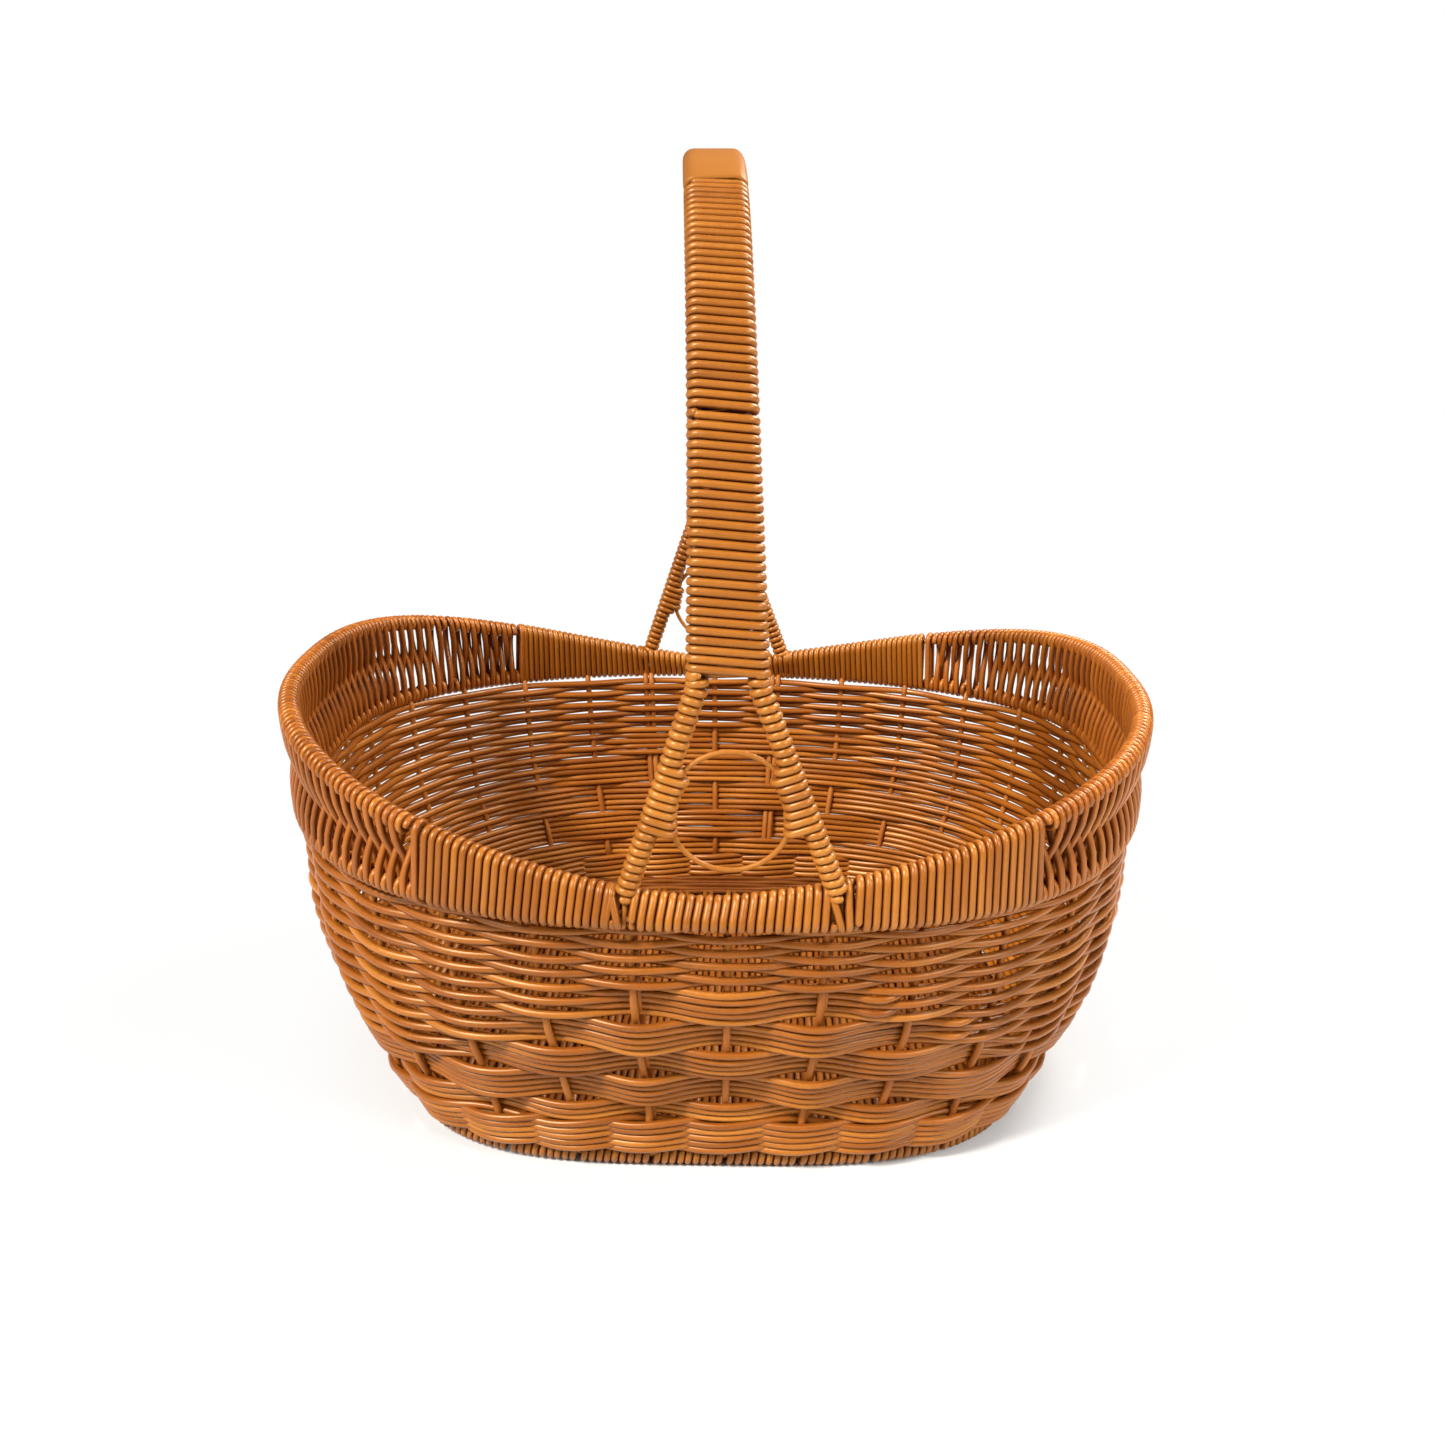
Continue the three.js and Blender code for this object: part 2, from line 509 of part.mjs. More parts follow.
for (const [nm, side] of [['handle_wire_left', -1], ['handle_wire_right', 1]]) {
  const D = [footStart(side, false), ...legStations(side, false), ...STRAP_F, ...GRIP_D, ...STRAP_B,
    ...legStations(side, true).reverse(), ARCH.L - footStart(side, true)];
  add(nm, loft(D.map((d) => { const F = wireFrame(side, d); return { ...F, outer: circle(F.o, F.u, F.v, WIRE_R, 6) }; }), false), wireMat());
}
// strap: both wires share one wrap
function strap(D) {
  return loft(D.map((d) => {
    const F = archFrame(d), w = wireOffset(d);
    return {
      o: F.o, u: F.x, v: F.n,
      outer: hullOutline(F.o, F.x, F.n, [[-w, 0, STRAP_T], [w, 0, STRAP_T]], 12),
      holes: [hullOutline(F.o, F.x, F.n, [[-w, 0, WIRE_R + GAP]], 6), hullOutline(F.o, F.x, F.n, [[w, 0, WIRE_R + GAP]], 6)],
    };
  }), false);
}
add('handle_wrap_front', strap(STRAP_F), strand(0xc8803e, 0.36));
add('handle_wrap_back', strap(STRAP_B), strand(0xc8803e, 0.36));
add('handle_grip_sleeve', strap(GRIP_D), strand(0xcc8442, 0.3));

// decorative rings, each lying in the plane of its two legs
function ringFrame(back) { return archFrame(lenAtZ(RING_Z, back)); }
function ringGeom(back, r) {
  const F = ringFrame(back), st = [], n = 28;
  for (let i = 0; i < n; i++) {
    const a = (2 * Math.PI * i) / n;
    const radial = F.x.clone().multiplyScalar(Math.cos(a)).addScaledVector(F.t, Math.sin(a));
    st.push({ outer: circle(F.o.clone().addScaledVector(radial, RING_R), radial, F.n, r, 6) });
  }
  return loft(st, true);
}
add('ring_front', ringGeom(false, RING_WIRE_R), strand(0xd29050, 0.35));
add('ring_back', ringGeom(true, RING_WIRE_R), strand(0xd29050, 0.35));

// wrapped legs, bound over the rings
function legWrap(side, back) {
  const st = legStations(side, back).map((d) => {
    const F = wireFrame(side, d);
    // the two legs meet side by side under the strap, so each keeps to its half
    const r = Math.min(LEG_R, Math.abs(wireOffset(d)) - 0.3);
    return { ...F, outer: circle(F.o, F.u, F.v, r, 8, 1), holes: [hullOutline(F.o, F.u, F.v, [[0, 0, WIRE_R + GAP]], 6)] };
  });
  return geometry(solid(loft(st, false)).subtract(solid(ringGeom(back, RING_WIRE_R + GAP))));
}
add('leg_wrap_front_left', legWrap(-1, false), strand(0xc8803e, 0.36));
add('leg_wrap_front_right', legWrap(1, false), strand(0xc8803e, 0.36));
add('leg_wrap_back_left', legWrap(-1, true), strand(0xc8803e, 0.36));
add('leg_wrap_back_right', legWrap(1, true), strand(0xc8803e, 0.36));

export default basket;
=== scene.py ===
import math
import bpy
import numpy as np
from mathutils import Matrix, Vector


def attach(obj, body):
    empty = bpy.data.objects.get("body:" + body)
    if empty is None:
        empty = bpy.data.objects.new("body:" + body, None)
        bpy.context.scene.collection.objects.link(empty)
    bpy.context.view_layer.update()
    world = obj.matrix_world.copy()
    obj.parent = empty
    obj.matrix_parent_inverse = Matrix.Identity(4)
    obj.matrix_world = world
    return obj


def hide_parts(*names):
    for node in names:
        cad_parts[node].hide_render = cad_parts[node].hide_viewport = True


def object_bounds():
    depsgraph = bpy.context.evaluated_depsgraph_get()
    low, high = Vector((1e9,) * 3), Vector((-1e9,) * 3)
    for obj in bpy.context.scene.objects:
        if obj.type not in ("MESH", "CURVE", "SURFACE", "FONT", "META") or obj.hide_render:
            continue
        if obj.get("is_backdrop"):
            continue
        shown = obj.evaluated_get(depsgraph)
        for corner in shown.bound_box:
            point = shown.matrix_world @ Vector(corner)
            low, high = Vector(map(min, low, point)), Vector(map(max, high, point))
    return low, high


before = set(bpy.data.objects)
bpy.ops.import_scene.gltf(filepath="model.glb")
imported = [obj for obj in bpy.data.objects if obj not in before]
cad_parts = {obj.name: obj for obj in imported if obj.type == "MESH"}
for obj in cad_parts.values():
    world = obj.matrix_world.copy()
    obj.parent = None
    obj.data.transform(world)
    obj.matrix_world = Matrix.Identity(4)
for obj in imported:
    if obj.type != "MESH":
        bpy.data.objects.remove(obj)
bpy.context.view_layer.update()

rng = np.random.default_rng(20240611)

# ------------------------------------------------------------ dimensions, mm
GAP = 0.35
FOOT_A, FOOT_B, FOOT_N = 134.7, 122.8, 3.5
FOOT_Z = 4.5 * math.cos(math.pi / 8)
LOW_A, LOW_B, LOW_N = 180.0, 155.0, 2.48
LOW_Z, LOW_RISE, LOW_RISE_P, TILT = 126.1, 6.7, 5.1, -0.012
TOP_A, TOP_B, TOP_N = 182.4, 151.9, 2.49
TOP_Z, TOP_RISE_L, TOP_RISE_R, TOP_RISE_P = 130.2, 47.3, 40.2, 1.44
WRAP_R = 4.3
WALL_Z0 = 9.2
WALL_A0, WALL_B0, WALL_A1, WALL_B1 = 136.8, 123.7, 179.0, 149.7
SIDE_R = np.array([123.7, 125.0, 128.2, 133.2, 138.5, 142.5, 145.4, 147.6, 149.7])
END_STRAIGHT, END_BULGE, END_PACK = 0.06, 3.4, 0.32
PHASE, BACK_PHASE, STEP, PAIR_MM = 0.007, 0.5048, 1 / 30, 3.3
WALL_Y = -1.0                  # the woven wall sits a little nearer the viewer than the hoops
FRONT_L, FRONT_R, BACK_R, BACK_L = -0.0975, 0.1125, 0.394, 0.605
ARCH_H, ARCH_M = 254.2, 2.507
STRAP_W0, STRAP_GROW, STRAP_T = 23.4, 13.4, 4.3
HAND_X, HAND_TURN, HAND_LEAN = 1.95, -0.0457, 3.8
FORK_Z, LEG_SPREAD, GRIP_HALF = 211.5, 39.6, 67.0
RING_Z, RING_R, RING_WIRE_R = 166.6, 21.8, 1.0
SR = 1.56                      # radius of the strand
UP = np.array([0.0, 0.0, 1.0])

# ------------------------------------------------------------------- curves
def unit(v):
    return v / np.linalg.norm(v, axis=-1, keepdims=True)

def dot(a, b):
    return np.sum(a * b, axis=-1, keepdims=True)

def pw(v, e):
    return np.sign(v) * np.abs(v) ** e

def oval(a, b, n, N=4800):
    t = -math.pi / 2 + 2 * math.pi * np.arange(N + 1) / N
    x, y = a * pw(np.cos(t), 2 / n), b * pw(np.sin(t), 2 / n)
    D = np.r_[0, np.cumsum(np.hypot(np.diff(x), np.diff(y)))]
    return x, y, D / D[-1], D[-1]

def at(tb, f):
    f = np.asarray(f, float)
    g = f - np.floor(f)
    return np.interp(g, tb[2], tb[0]), np.interp(g, tb[2], tb[1])

FOOT = oval(FOOT_A, FOOT_B, FOOT_N)
LOW = oval(LOW_A, LOW_B, LOW_N)
TOP = oval(TOP_A, TOP_B, TOP_N)
WBASE = oval(WALL_A0, WALL_B0, FOOT_N)
WTOP = oval(WALL_A1, WALL_B1, LOW_N)

def low_z(x):
    return LOW_Z + TILT * x + LOW_RISE * (np.abs(x) / LOW_A) ** LOW_RISE_P

def top_z(x):
    e = 4.0
    g = np.where(x < 0, TOP_RISE_L, TOP_RISE_R)
    return TOP_Z + g * (((x * x + e * e) / TOP_A ** 2) ** (TOP_RISE_P / 2) - (e / TOP_A) ** TOP_RISE_P)

def foot_at(f):
    x, y = at(FOOT, f)
    return np.stack([x, y, np.full_like(x, FOOT_Z)], -1)

def low_at(f):
    x, y = at(LOW, f)
    return np.stack([x, y, low_z(x)], -1)

def top_at(f):
    x, y = at(TOP, f)
    return np.stack([x, y, top_z(x)], -1)

def side_share(s):
    n = len(SIDE_R) - 1
    k = np.clip(np.floor(s * n), 0, n - 1).astype(int)
    t = s * n - k
    R = lambda i: SIDE_R[np.clip(i, 0, n)]
    a, b = R(k), R(k + 1)
    ma, mb = (b - R(k - 1)) / 2, (R(k + 2) - a) / 2
    r = a + t * (ma + t * (3 * (b - a) - 2 * ma - mb + t * (2 * (a - b) + ma + mb)))
    return (r - WALL_B0) / (WALL_B1 - WALL_B0)

def wall_at(f, q):
    f, q = np.broadcast_arrays(np.asarray(f, float), np.asarray(q, float))
    bx, by = at(WBASE, f)
    hx, hy = at(WTOP, f)
    lx, _ = at(LOW, f)
    e = (lx / LOW_A) ** 2
    s = q - END_PACK * e * q * (1 - q) ** 2
    end = END_STRAIGHT * s + (1 - END_STRAIGHT) * (1 - np.maximum(0, 1 - s) ** END_BULGE)
    w = (1 - e) * side_share(s) + e * end
    z1 = low_z(lx) - WRAP_R - GAP - 0.1
    return np.stack([bx + (hx - bx) * w, WALL_Y + by + (hy - by) * w, WALL_Z0 + (z1 - WALL_Z0) * s], -1)

def wall_normal(f, q):
    du = wall_at(f + 0.004, q) - wall_at(f - 0.004, q)
    dv = wall_at(f, q + 0.01) - wall_at(f, q - 0.01)
    return unit(np.cross(du, dv))

def ring_frame(fn, f):
    """Point, tangent and horizontal outward direction of a hoop."""
    t = fn(f + 0.0008) - fn(f - 0.0008)
    h = t.copy()
    h[..., 2] = 0
    h = unit(h)
    return fn(f), unit(t), np.stack([h[..., 1], -h[..., 0], np.zeros_like(h[..., 0])], -1)

# arch of the handle
_u = np.linspace(0, 1, 6001) * math.pi
_y = -TOP_B * pw(np.cos(_u), 2 / ARCH_M)
_h = np.abs(np.sin(_u)) ** (2 / ARCH_M)
ARCH_P = np.stack([HAND_X + HAND_TURN * _y - HAND_LEAN * _h, _y, TOP_Z + ARCH_H * _h], -1)
ARCH_D = np.r_[0, np.cumsum(np.linalg.norm(np.diff(ARCH_P, axis=0), axis=1))]
ARCH_L = ARCH_D[-1]

def arch_at(d):
    d = np.clip(d, 0, ARCH_L)
    return np.stack([np.interp(d, ARCH_D, ARCH_P[:, i]) for i in range(3)], -1)

def arch_frame(d):
    d = np.asarray(d, float)
    o = arch_at(d)
    t = unit(arch_at(d + 0.8) - arch_at(d - 0.8))
    x = np.zeros_like(t)
    x[..., 0] = 1
    x = unit(x - dot(x, t) * t)
    return o, t, x, unit(np.cross(x, t))

def smooth(a, b, v):
    k = np.clip((v - a) / (b - a), 0, 1)
    return k * k * (3 - 2 * k)

def wire_offset(d):
    z = arch_at(d)[..., 2]
    W = lambda h: STRAP_W0 + STRAP_GROW * (1 - (h - TOP_Z) / ARCH_H) ** 2
    strap = W(z) / 2 - STRAP_T
    w1 = W(FORK_Z) / 2 - STRAP_T
    line = w1 + (LEG_SPREAD - w1) / (FORK_Z - TOP_Z) * (FORK_Z - z)
    w = smooth(FORK_Z - 6, FORK_Z + 6, z)
    return np.where(z > FORK_Z + 6, strap, w * strap + (1 - w) * np.maximum(line, strap))

def wire_at(side, d):
    o, t, x, n = arch_frame(d)
    return o + side * wire_offset(d)[..., None] * x

def wire_frame(side, d):
    d = np.asarray(d, float)
    o = wire_at(side, d)
    t = unit(wire_at(side, d + 0.8) - wire_at(side, d - 0.8))
    x = np.zeros_like(t)
    x[..., 0] = 1
    x = unit(x - dot(x, t) * t)
    return o, t, x, unit(np.cross(x, t))

def len_at_z(z, back=False):
    half = ARCH_D <= ARCH_L / 2
    d = float(np.interp(z, ARCH_P[half, 2], ARCH_D[half]))
    return ARCH_L - d if back else d

# ------------------------------------------------------------ tube building
class Batch:
    """Many strands collected into one mesh."""
    def __init__(self):
        self.v, self.q, self.t, self.a, self.s, self.n = [], [], [], [], [], 0

    def tube(self, P, r, ref, sides=8, closed=False, sid=None, flat=1.0):
        """Round strand along the points P. ref is a direction roughly across the strand."""
        P = np.asarray(P, float)
        N = len(P)
        r = np.broadcast_to(np.asarray(r, float), (N,))
        if closed:
            T = unit(np.roll(P, -1, 0) - np.roll(P, 1, 0))
        else:
            T = unit(np.gradient(P, axis=0))
        R = np.broadcast_to(np.asarray(ref, float), P.shape)
        U = unit(R - dot(R, T) * T)
        V = np.cross(T, U)
        seg = np.linalg.norm(np.diff(P, axis=0), axis=1)
        ln = np.r_[0, np.cumsum(seg)]
        ang = 2 * math.pi * np.arange(sides) / sides
        sid = rng.random() if sid is None else sid
        if not closed:                       # rounded ends
            k = np.array([0.94, 0.70, 0.30])
            o = np.array([0.30, 0.72, 0.96])
            pre = [(P[0] - T[0] * r[0] * oo, r[0] * kk) for kk, oo in zip(k[::-1], o[::-1])]
            post = [(P[-1] + T[-1] * r[-1] * oo, r[-1] * kk) for kk, oo in zip(k, o)]
            P = np.vstack([[p for p, _ in pre], P, [p for p, _ in post]])
            r = np.r_[[x for _, x in pre], r, [x for _, x in post]]
            U = np.vstack([np.repeat(U[:1], 3, 0), U, np.repeat(U[-1:], 3, 0)])
            V = np.vstack([np.repeat(V[:1], 3, 0), V, np.repeat(V[-1:], 3, 0)])
            ln = np.r_[[ln[0]] * 3, ln, [ln[-1]] * 3]
            N += 6
        c, s = np.cos(ang)[None, :, None], np.sin(ang)[None, :, None]
        X = P[:, None] + r[:, None, None] * (c * U[:, None] + flat * s * V[:, None])
        i = np.arange(N if closed else N - 1)[:, None]
        j = np.arange(sides)[None]
        i2, j2 = (i + 1) % N, (j + 1) % sides
        Q = np.stack([i * sides + j, i2 * sides + j, i2 * sides + j2, i * sides + j2], -1).reshape(-1, 4)[:, ::-1]
        self.v.append(X.reshape(-1, 3))
        self.q.append(Q + self.n)
        A = np.empty((N, sides, 3))
        A[..., 0], A[..., 1], A[..., 2] = np.cos(ang)[None], np.sin(ang)[None], ln[:, None]
        self.a.append(A.reshape(-1, 3))
        self.s.append(np.full(N * sides, sid))
        if not closed:
            ends = []
            for row, rev in ((0, True), (N - 1, False)):
                loop = self.n + row * sides + np.arange(sides)
                for m in range(1, sides - 1):
                    tri = [loop[0], loop[m], loop[m + 1]]
                    ends.append(tri[::-1] if rev else tri)
            self.t.append(np.array(ends)[:, ::-1])
        self.n += N * sides

    def mesh(self, name, mat, nodes, slot):
        v = np.vstack(self.v) * 0.001
        q = np.vstack(self.q)
        t = np.vstack(self.t) if self.t else np.zeros((0, 3), int)
        me = bpy.data.meshes.new(name)
        me.vertices.add(len(v))
        me.vertices.foreach_set("co", v.ravel())
        me.loops.add(q.size + t.size)
        me.loops.foreach_set("vertex_index", np.r_[q.ravel(), t.ravel()].astype(np.int32))
        me.polygons.add(len(q) + len(t))
        me.polygons.foreach_set("loop_start", np.r_[np.arange(len(q)) * 4, q.size + np.arange(len(t)) * 3].astype(np.int32))
        me.polygons.foreach_set("use_smooth", np.ones(len(q) + len(t), bool))
        a = me.attributes.new("strand", "FLOAT_VECTOR", "POINT")
        a.data.foreach_set("vector", np.vstack(self.a).ravel())
        b = me.attributes.new("sid", "FLOAT", "POINT")
        b.data.foreach_set("value", np.concatenate(self.s))
        me.update(calc_edges=True)
        me.validate()
        ob = bpy.data.objects.new(name, me)
        bpy.context.scene.collection.objects.link(ob)
        me.materials.append(mat)
        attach(ob, "root")
        if nodes:
            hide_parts(*nodes)
        print("piece", name, "triangles", 2 * len(q) + len(t))
        return ob

# one turn round two parallel wires: share of the way between them, angle, advance
def stadium(n_arc, n_side, ratio):
    """ratio: straight length over arc length of the nominal turn."""
    lam, phi, adv = [], [], []
    arc, st = 1.0, ratio
    tot = 2 * (arc + st)
    pos = 0.0
    for side, (l0, l1, p0) in enumerate(((0, 1, 0.0), (1, 0, math.pi))):
        for i in range(n_side):
            k = i / n_side
            lam.append(l0 + (l1 - l0) * k); phi.append(p0); adv.append((pos + st * k) / tot)
        pos += st
        for i in range(n_arc):
            k = i / n_arc
            lam.append(l1); phi.append(p0 + math.pi * k); adv.append((pos + arc * k) / tot)
        pos += arc
    return np.array(lam, float), np.array(phi), np.array(adv)

def winding(c, tpl, place, hand=1):
    """Stations of a strand wound with its turns at the positions c. place(param, lam, phi)
    gives points and the wire's direction."""
    lam, phi, adv = tpl
    if hand < 0:
        lam, phi = np.r_[lam[:1], lam[:0:-1]], np.r_[phi[:1], phi[:0:-1]]
        phi = phi - 2 * math.pi
        adv = np.r_[0, 1 - adv[:0:-1]]
    pitch = np.r_[np.diff(c), c[-1] - c[-2]]
    par = (c[:, None] + pitch[:, None] * adv[None]).ravel()
    L = np.tile(lam, len(c))
    F = np.tile(phi, len(c))
    P, T = place(par, L, F)
    keep = np.r_[True, np.linalg.norm(np.diff(P, axis=0), axis=1) > 0.25]
    return P[keep], T[keep]

# ---------------------------------------------------------------- materials
def strand_material(name, dark, mid, light, rough=0.36, coat=0.0, stripe=0.26, tone=0.35, bump=0.14, painted_shade_axis=None, painted_shade_depth=0.80):
    m = bpy.data.materials.new(name)
    m.use_nodes = True
    nt = m.node_tree
    N, Lk = nt.nodes, nt.links
    N.clear()
    out = N.new("ShaderNodeOutputMaterial")
    bs = N.new("ShaderNodeBsdfPrincipled")
    Lk.new(bs.outputs[0], out.inputs[0])
    av = N.new("ShaderNodeAttribute"); av.attribute_name = "strand"
    sd = N.new("ShaderNodeAttribute"); sd.attribute_name = "sid"
    def math_(op, a, b=None, c=None):
        x = N.new("ShaderNodeMath"); x.operation = op
        for i, k in enumerate((a, b, c)):
            if k is None: continue
            if isinstance(k, (int, float)): x.inputs[i].default_value = k
            else: Lk.new(k, x.inputs[i])
        return x.outputs[0]
    sep = N.new("ShaderNodeSeparateXYZ"); Lk.new(av.outputs["Vector"], sep.inputs[0])
    seed = math_("MULTIPLY", sd.outputs["Fac"], 91.7)
    def vec(x, y, z):
        c = N.new("ShaderNodeCombineXYZ")
        for i, k in enumerate((x, y, z)):
            if isinstance(k, (int, float)): c.inputs[i].default_value = k
            else: Lk.new(k, c.inputs[i])
        return c.outputs[0]
    def noise(v, scale, detail=2.0, rough=0.5):
        n = N.new("ShaderNodeTexNoise")
        Lk.new(v, n.inputs["Vector"])
        n.inputs["Scale"].default_value = scale
        n.inputs["Detail"].default_value = detail
        n.inputs["Roughness"].default_value = rough
        return n.outputs["Fac"]
    # slow change of tone along a strand, fine lengthwise lines, small marks
    along = noise(vec(seed, math_("MULTIPLY", seed, 0.37), math_("MULTIPLY", sep.outputs[2], 0.011)), 1.0, 3.0)
    fine = noise(vec(math_("MULTIPLY_ADD", sep.outputs[0], 3.4, seed), math_("MULTIPLY", sep.outputs[1], 3.4), math_("MULTIPLY", sep.outputs[2], 0.035)), 1.0, 3.0, 0.6)
    geo = N.new("ShaderNodeTexCoord")
    mark = noise(geo.outputs["Object"], 520.0, 3.0, 0.6)
    cloud = noise(geo.outputs["Object"], 22.0, 2.0)
    f = math_("MULTIPLY_ADD", math_("SUBTRACT", sd.outputs["Fac"], 0.5), tone, 0.5)
    f = math_("MULTIPLY_ADD", math_("SUBTRACT", along, 0.5), 0.75, f)
    f = math_("MULTIPLY_ADD", math_("SUBTRACT", fine, 0.5), stripe, f)
    f = math_("MULTIPLY_ADD", math_("SUBTRACT", mark, 0.5), 0.16, f)
    f = math_("MULTIPLY_ADD", math_("SUBTRACT", cloud, 0.5), 0.35, f)
    ramp = N.new("ShaderNodeValToRGB")
    Lk.new(f, ramp.inputs[0])
    e = ramp.color_ramp.elements
    e[0].position, e[0].color = 0.08, (*dark, 1)
    e[1].position, e[1].color = 0.92, (*light, 1)
    k = ramp.color_ramp.elements.new(0.5); k.color = (*mid, 1)
    colour = ramp.outputs[0]
    if painted_shade_axis is not None:
        # painted shade: the sides that lie against the neighbouring strands are painted darker, standing in for the
        # shade in the crevices between strands
        side = math_("ABSOLUTE", sep.outputs[painted_shade_axis])
        if painted_shade_axis == 1:                              # painted shade: darker still on the underside, as if lit from above
            side = math_("MULTIPLY_ADD", sep.outputs[painted_shade_axis], 0.26, side)
        side = math_("MULTIPLY_ADD", math_("SUBTRACT", along, 0.5), 0.25, side)
        mr = N.new("ShaderNodeMapRange"); mr.interpolation_type = "SMOOTHSTEP"
        Lk.new(side, mr.inputs["Value"])
        mr.inputs["From Min"].default_value, mr.inputs["From Max"].default_value = 0.53, 1.02
        mr.inputs["To Min"].default_value, mr.inputs["To Max"].default_value = 0.0, painted_shade_depth
        mx = N.new("ShaderNodeMix"); mx.data_type = "RGBA"
        Lk.new(mr.outputs["Result"], mx.inputs["Factor"])
        Lk.new(colour, mx.inputs["A"])
        # painted shade colour of the crevices between strands
        mx.inputs["B"].default_value = (0.075, 0.0095, 0.0009, 1)
        colour = mx.outputs["Result"]
        # painted shade: the specular level falls off in the painted crevices, standing in for reflections that the
        # neighbouring strands block
        Lk.new(math_("MULTIPLY_ADD", mr.outputs["Result"], -1.2, 1.2), bs.inputs["Specular IOR Level"])
    Lk.new(colour, bs.inputs["Base Color"])
    bs.inputs["Specular Tint"].default_value = (1.0, 0.74, 0.47, 1)
    bs.inputs["Coat Tint"].default_value = (1.0, 0.86, 0.66, 1)
    Lk.new(math_("MULTIPLY_ADD", mark, 0.16, rough - 0.08), bs.inputs["Roughness"])
    bs.inputs["IOR"].default_value = 1.36
    bs.inputs["Coat Weight"].default_value = coat
    bs.inputs["Coat Roughness"].default_value = 0.16
    h = math_("MULTIPLY_ADD", mark, 0.35, fine)
    bp = N.new("ShaderNodeBump")
    bp.inputs["Strength"].default_value = bump
    bp.inputs["Distance"].default_value = 0.0004
    Lk.new(h, bp.inputs["Height"])
    Lk.new(bp.outputs[0], bs.inputs["Normal"])
    return m

DARK, MID, LIGHT = (0.145, 0.033, 0.0025), (0.27, 0.077, 0.0062), (0.50, 0.18, 0.022)
# the last arguments below paint shade into the crevices between strands: which sides get it, and how dark
mat_wrap = strand_material("wrap strand", DARK, MID, LIGHT, tone=0.26, painted_shade_axis=0)
mat_strap = strand_material("handle strand", (0.17, 0.042, 0.004), (0.335, 0.107, 0.0105), (0.55, 0.215, 0.031), tone=0.20, painted_shade_axis=0, painted_shade_depth=0.55)
mat_weave = strand_material("weave strand", DARK, (0.285, 0.078, 0.0058), LIGHT, tone=0.28, painted_shade_axis=1, painted_shade_depth=0.88)
mat_lattice = strand_material("lattice strand", DARK, (0.35, 0.098, 0.011), LIGHT, tone=0.26, painted_shade_axis=0, painted_shade_depth=0.62)
# painted shade: the floor strands get darker colours than the rest, standing in for the shade inside the basket
mat_floor_shaded = strand_material("floor strand", (0.11, 0.025, 0.002), (0.19, 0.052, 0.005), (0.30, 0.10, 0.013), tone=0.4, painted_shade_axis=0)
mat_stake = strand_material("stake strand", (0.22, 0.055, 0.008), (0.34, 0.105, 0.017), (0.48, 0.18, 0.038), tone=0.3)
mat_ring = strand_material("ring wire coat", DARK, (0.34, 0.118, 0.018), (0.50, 0.205, 0.042), rough=0.34, tone=0.2, stripe=0.08)

def wire_material():
    m = bpy.data.materials.new("coated frame wire")
    m.use_nodes = True
    nt = m.node_tree
    bs = nt.nodes["Principled BSDF"]
    tc = nt.nodes.new("ShaderNodeTexCoord")
    n = nt.nodes.new("ShaderNodeTexNoise")
    n.inputs["Scale"].default_value = 300
    nt.links.new(tc.outputs["Object"], n.inputs["Vector"])
    r = nt.nodes.new("ShaderNodeValToRGB")
    r.color_ramp.elements[0].color = (0.16, 0.07, 0.025, 1)
    r.color_ramp.elements[1].color = (0.30, 0.15, 0.06, 1)
    nt.links.new(n.outputs["Fac"], r.inputs[0])
    nt.links.new(r.outputs[0], bs.inputs["Base Color"])
    bs.inputs["Roughness"].default_value = 0.42
    bp = nt.nodes.new("ShaderNodeBump")
    bp.inputs["Strength"].default_value = 0.1
    bp.inputs["Distance"].default_value = 0.0003
    nt.links.new(n.outputs["Fac"], bp.inputs["Height"])
    nt.links.new(bp.outputs[0], bs.inputs["Normal"])
    return m
mat_wire = wire_material()

# ------------------------------------------------------------------- stakes
STAKE_F = []
for centre, nxt in ((PHASE, BACK_PHASE), (BACK_PHASE, PHASE + 1)):
    STAKE_F += [centre + i * STEP for i in range(-6, 7)]
    STAKE_F += [centre + 6 * STEP + i * (nxt - centre - 12 * STEP) / 4 for i in (1, 2, 3)]
STAKE_F = np.array(STAKE_F)
NST = len(STAKE_F)
STAKE_I = np.arange(NST) - 6                       # number 0 stands at the front centre
PAIR = PAIR_MM / LOW[3]

def stake_number(f):
    """Continuous stake count at a share f: whole numbers at the stakes."""
    x = np.r_[STAKE_F, STAKE_F[0] + 1]
    y = np.r_[STAKE_I, STAKE_I[0] + NST]
    g = (f - x[0]) - np.floor(f - x[0]) + x[0]
    return np.interp(g, x, y)

# ------------------------------------------------------- rows of the weave
def row_shares():
    """Height shares of the 37 rows, found by walking up the wall at the front centre."""
    q = np.linspace(0, 1.05, 4000)
    P = wall_at(np.full_like(q, PHASE), np.clip(q, 0, 1))
    D = np.r_[0, np.cumsum(np.linalg.norm(np.diff(P, axis=0), axis=1))]
    start = float(np.interp(10.7, P[:, 2], D))
    arc = [k * 3.17 if k < 28 else 27.5 * 3.17 + (k - 28 + 0.5) * 3.09 for k in range(37)]
    n = int(np.searchsorted(D, D[-1]))
    return np.interp(start + np.array(arc), D[:n + 1], q[:n + 1])
ROW_Q = row_shares()
print("rows", np.round(ROW_Q[[0, 4, 5, 27, 28, 36]], 3))
ROW_SIGN = np.array([1] * 5 + [1] * 3 + [-1] * 5 + [1] * 5 + [-1] * 5 + [1] * 5 + [-1, 1] * 4 + [-1])
PAIR_N = [-1, 1, 15, 17]                            # stakes that are doubled

